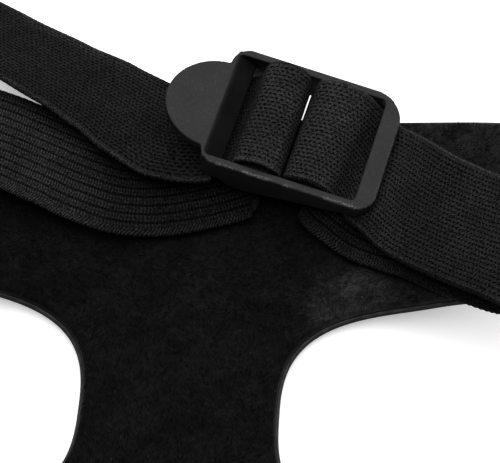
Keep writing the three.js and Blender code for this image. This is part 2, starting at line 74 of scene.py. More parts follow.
def studio_camera():
    turn = math.radians(CAMERA_AZIMUTH)
    rise = math.radians(CAMERA_ELEVATION)
    back = Vector((math.sin(turn) * math.cos(rise), -math.cos(turn) * math.cos(rise), math.sin(rise)))
    data = bpy.data.cameras.new("camera")
    data.sensor_fit = "HORIZONTAL"
    data.sensor_width = SENSOR_WIDTH
    data.lens = SENSOR_WIDTH * CAMERA_DISTANCE / (MM_PER_PIXEL * MM * IMAGE_WIDTH)
    data.clip_start = NEAREST_SEEN
    camera = in_scene("camera", data)
    camera.location = CAMERA_TARGET + back * CAMERA_DISTANCE
    camera.rotation_euler = (math.pi / 2 - rise, 0, turn)
    bpy.context.scene.camera = camera
    return camera


camera = studio_camera()
print("camera at", [round(x / MM, 1) for x in camera.location], "lens", round(camera.data.lens, 1))

# %% [markdown]
# Small helpers
#
# A finish is a Principled shader with a few nodes before it. These helpers add nodes in one line
# each, so that the recipes further down read as recipes. Numbers that are the same all over a
# surface go straight onto the shader.

# %% Node helpers


def new_finish(name, **sockets):
    material = bpy.data.materials.new(name)
    material.use_nodes = True
    shader = material.node_tree.nodes["Principled BSDF"]
    for socket, value in sockets.items():
        shader.inputs[socket.replace("_", " ")].default_value = value
    return material, material.node_tree, shader


def plug(tree, socket, value):
    if isinstance(value, bpy.types.NodeSocket):
        tree.links.new(value, socket)
    else:
        socket.default_value = value


def add_node(tree, kind, settings=None, **inputs):
    node = tree.nodes.new(kind)
    for name, value in (settings or {}).items():
        setattr(node, name, value)
    for name, value in inputs.items():
        plug(tree, node.inputs[name.replace("_", " ")], value)
    return node


def calc(tree, operation, *values):
    node = tree.nodes.new("ShaderNodeMath")
    node.operation = operation
    for socket, value in zip(node.inputs, values):
        plug(tree, socket, value)
    return node.outputs[0]


def ramp(tree, value, low, high, from_low=0.0, from_high=1.0, smooth=True):
    settings = {"interpolation_type": "SMOOTHSTEP" if smooth else "LINEAR"}
    node = add_node(tree, "ShaderNodeMapRange", settings, Value=value)
    node.inputs["From Min"].default_value = from_low
    node.inputs["From Max"].default_value = from_high
    node.inputs["To Min"].default_value = low
    node.inputs["To Max"].default_value = high
    return node.outputs["Result"]


def object_place(tree):
    return tree.nodes.new("ShaderNodeTexCoord").outputs["Object"]


def object_axis(tree, axis):
    return add_node(tree, "ShaderNodeSeparateXYZ", None, Vector=object_place(tree)).outputs[axis]


def distance_from(tree, point_mm):
    node = add_node(tree, "ShaderNodeVectorMath", {"operation": "DISTANCE"})
    plug(tree, node.inputs[0], object_place(tree))
    plug(tree, node.inputs[1], Vector(point_mm) * MM)
    return node.outputs["Value"]


def in_metres(millimetres):
    return [value * MM for value in millimetres]


def grain(tree, place, size_mm, detail=2.0, roughness=0.5):
    scale = 1 / (size_mm * MM)
    node = add_node(tree, "ShaderNodeTexNoise", None, Vector=place, Scale=scale, Detail=detail)
    node.inputs["Roughness"].default_value = roughness
    return node.outputs["Fac"]


def bump(tree, shader, height, depth_mm, strength=1.0):
    node = add_node(tree, "ShaderNodeBump", None, Height=height, Strength=strength, Distance=depth_mm * MM)
    tree.links.new(node.outputs["Normal"], shader.inputs["Normal"])


def grey(value, blue=1.0):
    return (value, value, value * blue, 1.0)


def blend_grey(tree, factor, dark, light):
    node = add_node(tree, "ShaderNodeMix", {"data_type": "RGBA"})
    plug(tree, node.inputs["Factor"], factor)
    plug(tree, node.inputs[6], dark)
    plug(tree, node.inputs[7], light)
    return node.outputs[2]


def paint(tree, shader, colour):
    tree.links.new(colour, shader.inputs["Base Color"])


# %% Mesh helpers


def mesh_from(bm, name):
    mesh = bpy.data.meshes.new(name)
    bm.to_mesh(mesh)
    bm.free()
    return mesh


def place_mesh(name, bm, *finishes):
    """Turns a bmesh in millimetres into an object at the origin, in metres."""
    bmesh.ops.scale(bm, vec=(MM, MM, MM), verts=bm.verts)
    mesh = mesh_from(bm, name)
    for finish in finishes:
        mesh.materials.append(finish)
    mesh.shade_smooth()
    return in_scene(name, mesh)


def finish_piece(piece, slot, *nodes):
    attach(piece, "root")
    if nodes:
        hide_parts(*nodes)
    triangles = sum(len(p.vertices) - 2 for p in piece.data.polygons)
    print(piece.name, "has", triangles, "triangles")


def vertex_places(bm):
    return np.array([vert.co for vert in bm.verts], float).reshape(-1, 3)


def move_vertices(bm, places):
    for vert, place in zip(bm.verts, places):
        vert.co = place


def everything(bm):
    return bm.verts[:] + bm.edges[:] + bm.faces[:]


def thicken(bm, height):
    """Pulls flat faces straight up into a slab."""
    grown = bmesh.ops.extrude_face_region(bm, geom=bm.faces[:], use_keep_orig=True)["geom"]
    top = [part for part in grown if isinstance(part, bmesh.types.BMVert)]
    bmesh.ops.translate(bm, vec=(0, 0, height), verts=top)


def round_off(bm, geom, radius, segments, affect="EDGES"):
    bmesh.ops.bevel(bm, geom=geom, offset=radius, segments=segments, profile=0.5,
                    affect=affect, material=-1)


def edges_along(bm, axis):
    """The edges of a box that run along one axis, given by its number."""
    return [edge for edge in bm.edges if abs(edge.verts[0].co[axis] - edge.verts[1].co[axis]) > 1]


# %% [markdown]
# The form of the guard
#
# The real guard starts as flat sheet stock that is warmed and pressed over a mould. We do the same:
# each layer is cut flat, in u across the face and v up the face, and a formula bends it. The middle
# stays flat, the sides wrap round the head, and a ridge is pressed in for the nose. A lattice could
# bend a layer too, but one formula lays every layer, fibre and strap on the same form.

# %% Bend of the sheet
FLAT_HALF = 20.0
WRAP_RADIUS = 66.0
REST_TOP = 10.0
REST_BOTTOM = -12.0
TOP_BEND = 110.0
CHEEK_BEND = 206.0
NOSE_ROOT = -45.0
NOSE_TIP = -86.0
NOSE_HALF = 13.0
NOSE_END_RISE = 15.0


def relief(u, v):
    above = np.maximum(v - REST_TOP, 0)
    below = np.maximum(REST_BOTTOM - v, 0)
    share = np.clip((NOSE_ROOT - v) / (NOSE_ROOT - NOSE_TIP), 0, 1)
    ridge = share**2 * (3 - 2 * share) * np.exp(-((u / NOSE_HALF) ** 2))
    tip = np.maximum(NOSE_TIP - v, 0) ** 2 / (2 * NOSE_END_RISE)
    cheek = below**2 / (2 * CHEEK_BEND)
    return above**2 / (2 * TOP_BEND) + cheek * (1 - ridge) + tip * ridge


def surface(u, v):
    turn = np.maximum(np.abs(u) - FLAT_HALF, 0) / WRAP_RADIUS
    x = np.minimum(np.abs(u), FLAT_HALF) + WRAP_RADIUS * np.sin(turn)
    z = WRAP_RADIUS * (1 - np.cos(turn)) + relief(u, v)
    return np.stack([np.sign(u) * x, v + 0 * u, z], axis=-1)


def unit(vectors):
    return vectors / np.linalg.norm(vectors, axis=-1, keepdims=True)


def sheet_axes(u, v, step=0.05):
    along = unit(surface(u + step, v) - surface(u - step, v))
    up = unit(surface(u, v + step) - surface(u, v - step))
    return along, up, unit(np.cross(along, up))


def raised(u, v, height):
    u, v, height = np.broadcast_arrays(*(np.asarray(x, float) for x in (u, v, height)))
    return surface(u, v) + sheet_axes(u, v)[2] * height[..., None]


def bend_sheet(bm):
    flat = vertex_places(bm)
    move_vertices(bm, raised(flat[:, 0], flat[:, 1], flat[:, 2]))


print("wing tip of the mould at", raised(101, -26, 0).round(1), "mm")

# %% [markdown]
# Cutting a layer
#
# The outline is a handful of curves, and the eye hole is a rounded square. We draw one half, bridge
# the hole to the outline, pull the face up into a slab, round its rims, mirror it and punch the strap
# slots. Booleans on the bent form would work too, but a flat slab is much easier to cut cleanly.

# %% Outline
TOP_EDGE = 25.2
CHIN_EDGE = -97.0
CHEEK_LOW = (40.0, -104.0)
CHIN_BEND = ((14.0, CHIN_EDGE), (24.0, -105.0))
JAW_BEND = ((74.0, -101.0), (89.0, -74.0))
BROW_BEND = ((78.0, 18.5), (50.0, 27.2))
EYE = {"u": 50.0, "v": -48.5, "half_width": 29.2, "half_height": 25.0, "power": 2.8}
WING = {"u": 101.0, "v": -26.0, "slant": 12.0, "half": 21.0, "corner": 5.0, "rise": 3.0, "fall": 2.0}
SLOT = {"strip": 8.0, "width": 3.6, "length": 29.0, "corner": 1.2}


def wing_flat(side, out, across=0.0):
    slant = math.radians(WING["slant"])
    u = WING["u"] + out * math.cos(slant) + across * math.sin(slant)
    v = WING["v"] - out * math.sin(slant) + across * math.cos(slant)
    return np.array([side * u, v])


def spaced_curve(controls, count):
    """Evenly spaced points of a curve that is pulled by two, three or four control points."""
    t = np.linspace(0, 1, 200)[:, None]
    points = [np.asarray(point, float) * np.ones_like(t) for point in controls]
    while len(points) > 1:
        points = [(1 - t) * a + t * b for a, b in zip(points, points[1:])]
    line = points[0]
    steps = np.linalg.norm(np.diff(line, axis=0), axis=1)
    run = np.concatenate([[0], np.cumsum(steps)])
    at = np.linspace(0, run[-1], count + 1)[:-1]
    return np.stack([np.interp(at, run, line[:, k]) for k in range(2)], axis=1)


def half_outline(pitch):
    """Outline of the right half, anticlockwise from the chin, with points about a pitch apart."""
    half, corner = WING["half"], WING["corner"]
    upper, lower = wing_flat(1, 0, half), wing_flat(1, 0, -half)
    end_top, end_low = wing_flat(1, 0, half - corner), wing_flat(1, 0, corner - half)
    top_run = upper + (-corner, WING["rise"])
    low_run = lower + (-WING["fall"], -corner)
    chin, top = (0, CHIN_EDGE), (0, TOP_EDGE)
    # control points of each stretch, and about how long it is
    curves = [
        ((chin, *CHIN_BEND, CHEEK_LOW), 42),
        ((CHEEK_LOW, *JAW_BEND, low_run), 78),
        ((low_run, lower, end_low), 8),
        ((end_low, end_top), 32),
        ((end_top, upper, top_run), 8),
        ((top_run, *BROW_BEND, top), 97),
        ((top, chin), TOP_EDGE - CHIN_EDGE),
    ]
    return np.concatenate([spaced_curve(controls, round(run / pitch)) for controls, run in curves])


def half_loops(setback, pitch):
    """The eye hole's edge and the outline of one half, point for point on the same rays."""
    eye = np.array([EYE["u"], EYE["v"]])
    outer = half_outline(pitch)
    ray = outer - eye
    reach = np.linalg.norm(ray, axis=1, keepdims=True)
    shares = np.abs(ray / reach / (EYE["half_width"], EYE["half_height"])) ** EYE["power"]
    hole = shares.sum(axis=1, keepdims=True) ** (-1 / EYE["power"])
    hole_edge = eye + ray / reach * (hole + setback)
    rim = np.where(outer[:, :1] == 0, outer, eye + ray * (1 - setback / reach))
    rim[outer[:, 0] == 0, 0] = 0
    return hole_edge, rim


print("outline of a half has", len(half_outline(1.0)), "points at 1 mm")

# %% Flat slab with round rims
WELD = 1e-4
LONG_EDGE = 10.0
RIM_SEGMENTS = 3


def closed_loop(bm, points, height):
    verts = [bm.verts.new((u, v, height)) for u, v in points]
    return [bm.edges.new((a, b)) for a, b in zip(verts, verts[1:] + verts[:1])]


def on_middle(vert):
    return abs(vert.co.x) < 1e-6


def rim_edges(bm, up):
    """Edges where a flat face that looks up or down meets an upright rim."""
    found = []
    for edge in bm.edges:
        slopes = sorted(face.normal.z * up for face in edge.link_faces)
        if len(slopes) == 2 and abs(slopes[0]) < 0.1 and slopes[1] > 0.9:
            found.append(edge)
    return found


def long_edges(bm, up):
    """Long edges inside a flat face that looks up or down."""
    level = [edge for edge in bm.edges if all(face.normal.z * up > 0.9 for face in edge.link_faces)]
    return [edge for edge in level if edge.calc_length() > LONG_EDGE]


def flat_slab(low, high, setback, pitch, rounds, cuts):
    """A layer as a flat slab in u, v and height. rounds and cuts are for its lower and upper face."""
    bm = bmesh.new()
    hole_edge, rim = half_loops(setback, pitch)
    loops = closed_loop(bm, hole_edge, low) + closed_loop(bm, rim, low)
    bmesh.ops.bridge_loops(bm, edges=loops)
    thicken(bm, high - low)
    seam = [face for face in bm.faces if all(on_middle(vert) for vert in face.verts)]
    bmesh.ops.delete(bm, geom=seam, context="FACES_ONLY")
    bmesh.ops.mirror(bm, geom=everything(bm), axis="X", merge_dist=WELD)
    bmesh.ops.remove_doubles(bm, verts=bm.verts, dist=WELD)
    bmesh.ops.recalc_face_normals(bm, faces=bm.faces)
    for up, radius, cut_count in zip((-1, 1), rounds, cuts):
        if radius:
            round_off(bm, rim_edges(bm, up), radius, RIM_SEGMENTS)
        bmesh.ops.subdivide_edges(bm, edges=long_edges(bm, up), cuts=cut_count, use_grid_fill=True)
    return bm


# %% [markdown]
# The strap slots
#
# The strap passes through a slot near the end of each wing. It is punched from the flat slab with a
# rounded block, by an exact boolean, and the bend then carries it to its place. The same two helpers,
# which bake modifiers and carve with tools, cut the buckle further down.

# %% Punching the strap slots
PUNCH_HEIGHT = 20.0
PUNCH_SEGMENTS = 4


def baked(bm, *modifiers):
    """The bmesh after modifiers, each given as its kind and its settings."""
    mesh = mesh_from(bm, "blank")
    blank = in_scene("blank", mesh)
    for kind, settings in modifiers:
        modifier = blank.modifiers.new(kind.lower(), kind)
        for name, value in settings.items():
            setattr(modifier, name, value)
    done = bpy.data.meshes.new_from_object(blank.evaluated_get(bpy.context.evaluated_depsgraph_get()))
    result = bmesh.new()
    result.from_mesh(done)
    bpy.data.objects.remove(blank)
    bpy.data.meshes.remove(mesh)
    bpy.data.meshes.remove(done)
    return result


def cutter(bm, name):
    return in_scene(name, mesh_from(bm, name))


def carve(bm, *tools):
    """Cuts the tools out of a closed bmesh and throws them away."""
    cuts = [("BOOLEAN", {"operation": "DIFFERENCE", "solver": "EXACT", "object": tool}) for tool in tools]
    result = baked(bm, *cuts)
    for tool in tools:
        bpy.data.objects.remove(tool)
    return result


def slot_punch(side):
    bm = bmesh.new()
    bmesh.ops.create_cube(bm, size=1)
    bmesh.ops.scale(bm, vec=(SLOT["width"], SLOT["length"], PUNCH_HEIGHT), verts=bm.verts)
    round_off(bm, edges_along(bm, 2), SLOT["corner"], PUNCH_SEGMENTS)
    turn = Matrix.Rotation(-side * math.radians(WING["slant"]), 4, "Z")
    bmesh.ops.transform(bm, matrix=turn, verts=bm.verts)
    place = wing_flat(side, -SLOT["strip"] - SLOT["width"] / 2)
    bmesh.ops.translate(bm, vec=(*place, 0), verts=bm.verts)
    return cutter(bm, "slot_punch")


def punched(bm):
    return carve(bm, slot_punch(1), slot_punch(-1))


print("slots of", SLOT["width"], "by", SLOT["length"], "mm at", wing_flat(1, -SLOT["strip"]).round(1))

# %% [markdown]
# Finishes of the guard
#
# Everything is black, so the finishes differ in how they catch the light. The shell is a matte moulded
# sheet with a smooth grey lip, whose grey is partly a painted highlight on its upward rim, and the lining
# is a short plush that swallows most of the light. Their unevenness could come from pictures, but noise
# on Object coordinates has no seams and needs no file.

# %% Shell finishes


def shell_finish():
    material, tree, shader = new_finish("shell_sheet", Roughness=0.7, Specular_IOR_Level=0.06)
    place = object_place(tree)
    paint(tree, shader, blend_grey(tree, grain(tree, place, 9.0), grey(0.006), grey(0.011)))
    bump(tree, shader, grain(tree, place, 0.5, detail=3.0), 0.12, 0.6)
    return material


def lip_finish():
    material, tree, shader = new_finish("shell_lip", Roughness=0.5, Specular_IOR_Level=0.15)
    scuff = grain(tree, object_place(tree), 1.6, detail=4.0)
    # the lip's grey is partly a painted highlight on the rounded rim's upward faces
    paint(tree, shader, blend_grey(tree, ramp(tree, scuff, 0, 1, 0.35, 0.7), grey(0.012), grey(0.03)))
    bump(tree, shader, scuff, 0.05, 0.5)
    return material


shell_sheet = shell_finish()
shell_lip = lip_finish()

# %% Plush finishes
SHEEN_SIDE = (34.0, 56.0)
SHEEN_SPOT = (35.0, -22.0, 9.0)
SHEEN_SPOT_REACH = (4.0, 15.0)


def lint(tree, place, spacing_mm, radius_mm, rarity):
    """One where a speck of lint lies, which is in few of the cells of a scattered grid."""
    scale = 1 / (spacing_mm * MM)
    cells = add_node(tree, "ShaderNodeTexVoronoi", None, Vector=place, Scale=scale, Randomness=1.0)
    reach = radius_mm / spacing_mm
    near = ramp(tree, cells.outputs["Distance"], 1, 0, 0.5 * reach, reach)
    dice = add_node(tree, "ShaderNodeSeparateColor", None, Color=cells.outputs["Color"])
    return calc(tree, "MULTIPLY", near, calc(tree, "GREATER_THAN", dice.outputs["Red"], rarity))


def plush_finish():
    """Ground of the plush, with a painted sheen that makes it paler on one side and at one spot."""
    gloss = {"Specular_IOR_Level": 0.03, "Sheen_Weight": 0.06, "Sheen_Roughness": 0.4}
    material, tree, shader = new_finish("plush", Roughness=1.0, **gloss)
    place = object_place(tree)
    tufts = grain(tree, place, 1.2, detail=5.0, roughness=0.65)
    pile_tone = grain(tree, place, 6.0, detail=3.0)
    # painted sheen: paler on one side and at one spot, where the guard turns towards the light
    side = ramp(tree, object_axis(tree, "X"), 0.16, 0.6, *in_metres(SHEEN_SIDE))
    spot = ramp(tree, distance_from(tree, SHEEN_SPOT), 1, 0, *in_metres(SHEEN_SPOT_REACH))
    painted_sheen = calc(tree, "MAXIMUM", side, spot)
    tufted = ramp(tree, tufts, 0.35, 1, 0.35, 0.7)
    mixed = calc(tree, "MULTIPLY", tufted, ramp(tree, pile_tone, 0.3, 1, 0.32, 0.66))
    pile = blend_grey(tree, calc(tree, "MULTIPLY", mixed, painted_sheen), grey(0.0017), grey(0.034))
    specks = lint(tree, place, 4.0, 0.16, 0.95)
    paint(tree, shader, blend_grey(tree, specks, pile, grey(0.06)))
    bump(tree, shader, tufts, 0.4, 0.8)
    return material


def fibre_finish():
    material, tree, shader = new_finish("plush_fibre", Roughness=0.9, Specular_IOR_Level=0.05)
    shade = add_node(tree, "ShaderNodeAttribute", {"attribute_name": "shade"}).outputs["Fac"]
    uneven = ramp(tree, grain(tree, object_place(tree), 1.5, detail=3.0), 0.5, 1.2, 0.3, 0.7)
    level = calc(tree, "MULTIPLY", shade, uneven)
    paint(tree, shader, blend_grey(tree, level, grey(0.0015), grey(0.04)))
    return material


plush = plush_finish()
plush_fibre = fibre_finish()
print("finishes:", shell_sheet.name, shell_lip.name, plush.name, plush_fibre.name)

# %% [markdown]
# Knitted elastic
#
# One face of the elastic is a fine net of leaning slits, and the other has flat ribs that run along it,
# each with two rows of short dashes. Both are worked out in millimetres across and along the strap,
# which are kept in the strap's own UV map, so they bend with it. Yarn is never quite even, so the
# millimetres drift a little, and fine flecks lie over it. Black yarn turns grey where it is bent and
# rubbed, so the loops on the bars are the greyest. Light and shade are painted in as well: painted
# shade darkens the loops' sides down in the pit and the rib face where it lies under the other strand
# and the buckle, and a painted highlight runs along the tail's upper edge.

# %% Sizes of the elastic
STRAP_WIDTH = 25.6
STRAP_THICK = 1.5
EDGE_RADIUS = 0.72
HALF_FLAT = STRAP_WIDTH / 2 - EDGE_RADIUS
KNIT_ACROSS = 0.97
KNIT_ALONG = 1.03
KNIT_LEAN = 0.45
RIB_PITCH = 2.17
DASH_PITCH = 0.62
DRIFT = 0.4
BUCKLE_MIDDLE = (20.95, 15.1)
RUBBED_PLACE = (*BUCKLE_MIDDLE, 13.0)
HIGHLIGHT_SIDE = -1.0
# ranges over which the yarn's grey changes, with its painted shade and painted highlight
RUBBED_REACH = (15.5, 19.0)
PIT_SHADE_HEIGHTS = (13.0, 16.0)
KNIT_PALER = (-5.0, 30.0)
HIGHLIGHT_EDGE = (HALF_FLAT - 4, HALF_FLAT - 1)
HIGHLIGHT_TAIL = (-25.0, -8.0)
RIBS_PAINTED_SHADE = (-38.0, -14.0)
print("elastic is", STRAP_WIDTH, "mm wide and", STRAP_THICK, "mm thick")

# %% Elastic patterns


def strap_millimetres(tree):
    """Millimetres across the strap, from its middle, and along it, with a little drift."""
    uv = add_node(tree, "ShaderNodeUVMap", {"uv_map": "strap_mm"}).outputs["UV"]
    drift = add_node(tree, "ShaderNodeTexNoise", None, Vector=uv, Scale=0.4, Detail=3.0)
    moved = add_node(tree, "ShaderNodeVectorMath", {"operation": "MULTIPLY_ADD"})
    tree.links.new(drift.outputs["Color"], moved.inputs[0])
    moved.inputs[1].default_value = (DRIFT, DRIFT, 0)
    tree.links.new(uv, moved.inputs[2])
    parts = add_node(tree, "ShaderNodeSeparateXYZ", None, Vector=moved.outputs[0])
    return calc(tree, "SUBTRACT", parts.outputs["X"], DRIFT / 2), parts.outputs["Y"]


def cells(tree, place, pitch, shift=0.0):
    """Number of the cell that a place is in, and the place in it, from minus to plus a half."""
    counted = calc(tree, "ADD", calc(tree, "DIVIDE", place, pitch), shift)
    number = calc(tree, "FLOOR", counted)
    return number, calc(tree, "SUBTRACT", calc(tree, "SUBTRACT", counted, number), 0.5)


def chance(tree, column, row):
    pair = add_node(tree, "ShaderNodeCombineXYZ", None, X=column, Y=row).outputs["Vector"]
    dice = add_node(tree, "ShaderNodeTexWhiteNoise", {"noise_dimensions": "2D"}, Vector=pair)
    return dice.outputs["Value"]


def length_of(tree, a, b):
    squares = calc(tree, "ADD", calc(tree, "MULTIPLY", a, a), calc(tree, "MULTIPLY", b, b))
    return calc(tree, "SQRT", squares)


def from_edge(tree, across):
    return calc(tree, "SUBTRACT", HALF_FLAT, calc(tree, "ABSOLUTE", across))


def yarn_shader(name):
    return new_finish(name, Roughness=0.85, Specular_IOR_Level=0.01)


def yarn_colour(tree, shader, lit, grey_with_painted_light):
    """Colours and bumps the yarn, with flecks and slow changes of tone over it."""
    place = object_place(tree)
    fleck = ramp(tree, grain(tree, place, 0.32, detail=1.0), 0.3, 1.7, 0.35, 0.65)
    tone = ramp(tree, grain(tree, place, 9.0, detail=2.0), 0.42, 0.58, 0.3, 0.7)
    uneven = calc(tree, "MULTIPLY", fleck, tone)
    level = calc(tree, "MULTIPLY", calc(tree, "MULTIPLY", lit, grey_with_painted_light), uneven)
    paint(tree, shader, blend_grey(tree, level, grey(0.0005), grey(0.037)))
    bump(tree, shader, calc(tree, "MULTIPLY_ADD", fleck, 0.1, lit), 0.3, 0.8)


# %% Elastic finishes


def knit_grey_and_painted_light(tree, across):
    """Grey of the knit face: more on the loops over the bars, with painted shade low on their sides in the
    pit, and a painted highlight on the tail's upper edge.
    """
    near = ramp(tree, distance_from(tree, RUBBED_PLACE), 0.36, 0, *in_metres(RUBBED_REACH))
    # painted shade: the loops are painted darker low down, where their sides go down into the pit
    high = ramp(tree, object_axis(tree, "Z"), 0, 1, *in_metres(PIT_SHADE_HEIGHTS))
    plain = ramp(tree, object_axis(tree, "X"), 0.5, 0.68, *in_metres(KNIT_PALER))
    # painted highlight along one edge of the tail, where it curls up towards the light
    edge_highlight = ramp(tree, calc(tree, "MULTIPLY", across, HIGHLIGHT_SIDE), 0, 0.35, *HIGHLIGHT_EDGE)
    tail = ramp(tree, object_axis(tree, "X"), 1, 0, *in_metres(HIGHLIGHT_TAIL))
    return calc(tree, "MULTIPLY_ADD", near, high, calc(tree, "MULTIPLY_ADD", edge_highlight, tail, plain))


def knit_finish():
    material, tree, shader = yarn_shader("knit_face")
    across, along = strap_millimetres(tree)
    column, beside = cells(tree, across, KNIT_ACROSS)
    odd = calc(tree, "PINGPONG", column, 1.0)
    row, ahead = cells(tree, along, KNIT_ALONG, calc(tree, "MULTIPLY", odd, 0.5))
    lean = calc(tree, "MULTIPLY_ADD", odd, 2 * KNIT_LEAN, -KNIT_LEAN)
    slit = calc(tree, "MULTIPLY_ADD", beside, lean, ahead)
    reach = length_of(tree, calc(tree, "DIVIDE", beside, 0.23), calc(tree, "DIVIDE", slit, 0.36))
    depth = ramp(tree, chance(tree, column, row), 0.75, 1.0, smooth=False)
    hole = calc(tree, "MULTIPLY", ramp(tree, reach, 1, 0, 0.6, 1.2), depth)
    edge = from_edge(tree, across)
    hole = calc(tree, "MULTIPLY", hole, ramp(tree, edge, 0, 1, 0.1, 0.4))
    bead = ramp(tree, edge, 1.7, 1, -0.1, 0.25)
    lit = calc(tree, "MULTIPLY", bead, calc(tree, "SUBTRACT", 1.0, hole))
    yarn_colour(tree, shader, lit, knit_grey_and_painted_light(tree, across))
    return material


def rib_finish():
    material, tree, shader = yarn_shader("rib_face")
    across, along = strap_millimetres(tree)
    aside = calc(tree, "ABSOLUTE", cells(tree, across, RIB_PITCH, 0.5)[1])
    groove = ramp(tree, aside, 1, 0.2, 0.3, 0.47)
    middle = ramp(tree, aside, 0.6, 1, 0.02, 0.14)
    flat = calc(tree, "MULTIPLY", groove, middle)
    ahead = cells(tree, along, DASH_PITCH, calc(tree, "MULTIPLY", aside, 0.6))[1]
    dash = ramp(tree, calc(tree, "ABSOLUTE", ahead), 1, 0.35, 0.1, 0.45)
    ribs = calc(tree, "MULTIPLY", flat, dash)
    slant = cells(tree, along, DASH_PITCH, calc(tree, "MULTIPLY", across, 0.9))[1]
    chain = ramp(tree, calc(tree, "ABSOLUTE", slant), 1.2, 0.3, 0.1, 0.45)
    rim = ramp(tree, from_edge(tree, across), 1, 0, 0.35, 0.6)
    more = calc(tree, "MULTIPLY", rim, calc(tree, "SUBTRACT", chain, ribs))
    # painted shade: the rib face is painted darker towards the buckle, under the other strand and the
    # buckle
    grey_with_painted_light = ramp(tree, object_axis(tree, "X"), 1.5, 0.58, *in_metres(RIBS_PAINTED_SHADE))
    yarn_colour(tree, shader, calc(tree, "ADD", ribs, more), grey_with_painted_light)
    return material


knit_face = knit_finish()
rib_face = rib_finish()
print("elastic finishes:", knit_face.name, rib_face.name)

# %% [markdown]
# Buckle plastic
#
# The buckle's skin is finely speckled, and its upper edges are rubbed, with a painted highlight laid along
# them, strongest on the front rail. How rubbed and highlit each point is comes with the mesh, as an
# attribute. Another attribute marks the slope and the inner walls beside it, deep in the window, for a
# painted shade of deep black. A shader could look for edges by itself, but it can't tell which of them
# are rubbed, and the mesh can.

# %% Buckle finish


def buckle_finish():
    material, tree, shader = new_finish("buckle_plastic", Specular_IOR_Level=0.17)
    place = object_place(tree)
    skin = grain(tree, place, 0.22, detail=2.0)
    broad = grain(tree, place, 6.0, detail=2.0)
    plain = blend_grey(tree, broad, grey(0.007, 1.08), grey(0.011, 1.08))
    speckle = ramp(tree, grain(tree, place, 0.32, detail=1.0), 0, 0.6, 0.58, 0.75)
    dust = lint(tree, place, 3.4, 0.14, 0.9)
    speckled = blend_grey(tree, calc(tree, "MAXIMUM", speckle, dust), plain, grey(0.035))
    # rubbed edges, which also carry a painted highlight, strongest on the front rail
    wear_and_highlight = add_node(tree, "ShaderNodeAttribute", {"attribute_name": "wear_and_highlight"}).outputs["Fac"]
    spots = ramp(tree, grain(tree, place, 0.3, detail=3.0), 0.05, 1, 0.42, 0.62)
    stretches = ramp(tree, grain(tree, place, 3.5, detail=2.0), 0.1, 1, 0.38, 0.6)
    rubbed_and_highlit = calc(tree, "MULTIPLY", wear_and_highlight, calc(tree, "MULTIPLY", spots, stretches))
    # painted shade: the slope and the walls beside it, deep in the window, are painted near black
    pit_shade = add_node(tree, "ShaderNodeAttribute", {"attribute_name": "pit_shade"}).outputs["Fac"]
    worn_and_highlit = blend_grey(tree, rubbed_and_highlit, speckled, grey(0.13))
    paint(tree, shader, blend_grey(tree, pit_shade, worn_and_highlit, grey(0.0015)))
    tree.links.new(ramp(tree, broad, 0.48, 0.58, 0.3, 0.7), shader.inputs["Roughness"])
    bump(tree, shader, skin, 0.05, 0.7)
    return material


buckle_plastic = buckle_finish()
print("buckle finish:", buckle_plastic.name)

# %% [markdown]
# The shell
#
# The shell is the stiff black sheet that rests on its forehead. It is a slab 1.6 mm thick, punched and
# then bent. A thin sheet with a Solidify modifier would be quicker, but then its two rims couldn't be
# rounded apart: the lower one is rounded more than the upper one, so that only a narrow lip shows.

# %% Shell
SHELL_THICK = 1.6
SHELL_PITCH = 1.6
SHELL_ROUNDS = (0.9, 0.6)
SHELL_CUTS = (20, 20)
LIP_SLOPES = (0.7, 0.99)
SHEET_SLOT, LIP_SLOT = 0, 1


def mark_lip(bm):
    """The lip is where the rounded upper rim still looks mostly up. Its grey is partly a painted
    highlight.
    """
    bm.normal_update()
    for face in bm.faces:
        on_lip = LIP_SLOPES[0] < face.normal.z < LIP_SLOPES[1]
        face.material_index = LIP_SLOT if on_lip else SHEET_SLOT


shell_bm = punched(flat_slab(0, SHELL_THICK, 0, SHELL_PITCH, SHELL_ROUNDS, SHELL_CUTS))
mark_lip(shell_bm)
bend_sheet(shell_bm)
shell = place_mesh("guard_shell", shell_bm, shell_sheet, shell_lip)
finish_piece(shell, "shell_plastic", "shell")

# %% [markdown]
# The plush lining
#
# The lining is cut a little smaller than the shell, and its upper edge is well rounded, as plush is.
# Its upper face gets a low, uneven relief before it is bent. A Displace modifier could raise it too,
# but a small function can be asked again for the height on which each fibre of the pile stands.

# %% Lining
LINING_LOW = SHELL_THICK + 0.06
LINING_TOP = SHELL_THICK + 1.8
LINING_SETBACK = 0.75
LINING_PITCH = 1.0
LINING_ROUNDS = (0, 1.1)
LINING_CUTS = (6, 44)
TUFT_RELIEF = 0.14
TUFT_SIZE = 2.4


def unevenness(u, v, size, layer=0):
    """Smooth noise on the flat lining, from minus to plus one. Each layer is another pattern."""
    return noise.noise(Vector((u, v, layer)) / size)


def tuft_height(u, v):
    return TUFT_RELIEF * unevenness(u, v, TUFT_SIZE)


def raise_tufts(bm):
    bm.normal_update()
    for vert in bm.verts:
        if all(face.normal.z > 0.99 for face in vert.link_faces):
            vert.co.z += tuft_height(vert.co.x, vert.co.y)


lining_slab = flat_slab(LINING_LOW, LINING_TOP, LINING_SETBACK, LINING_PITCH, LINING_ROUNDS, LINING_CUTS)
lining_bm = punched(lining_slab)
raise_tufts(lining_bm)
lining_flat = lining_bm.copy()
bend_sheet(lining_bm)
lining = place_mesh("plush_lining", lining_bm, plush)
finish_piece(lining, "plush", "lining")

# %% [markdown]
# The pile
#
# What makes plush look like plush is its pile, so thousands of fine tapered fibres lie on the lining,
# brushed down over the nose and every way on the forehead. Particle hair could be combed by hand, but
# the finished part is plain mesh, so each fibre is a slim closed spike. They are scattered with a fixed
# seed on the flat lining, and bent with it.

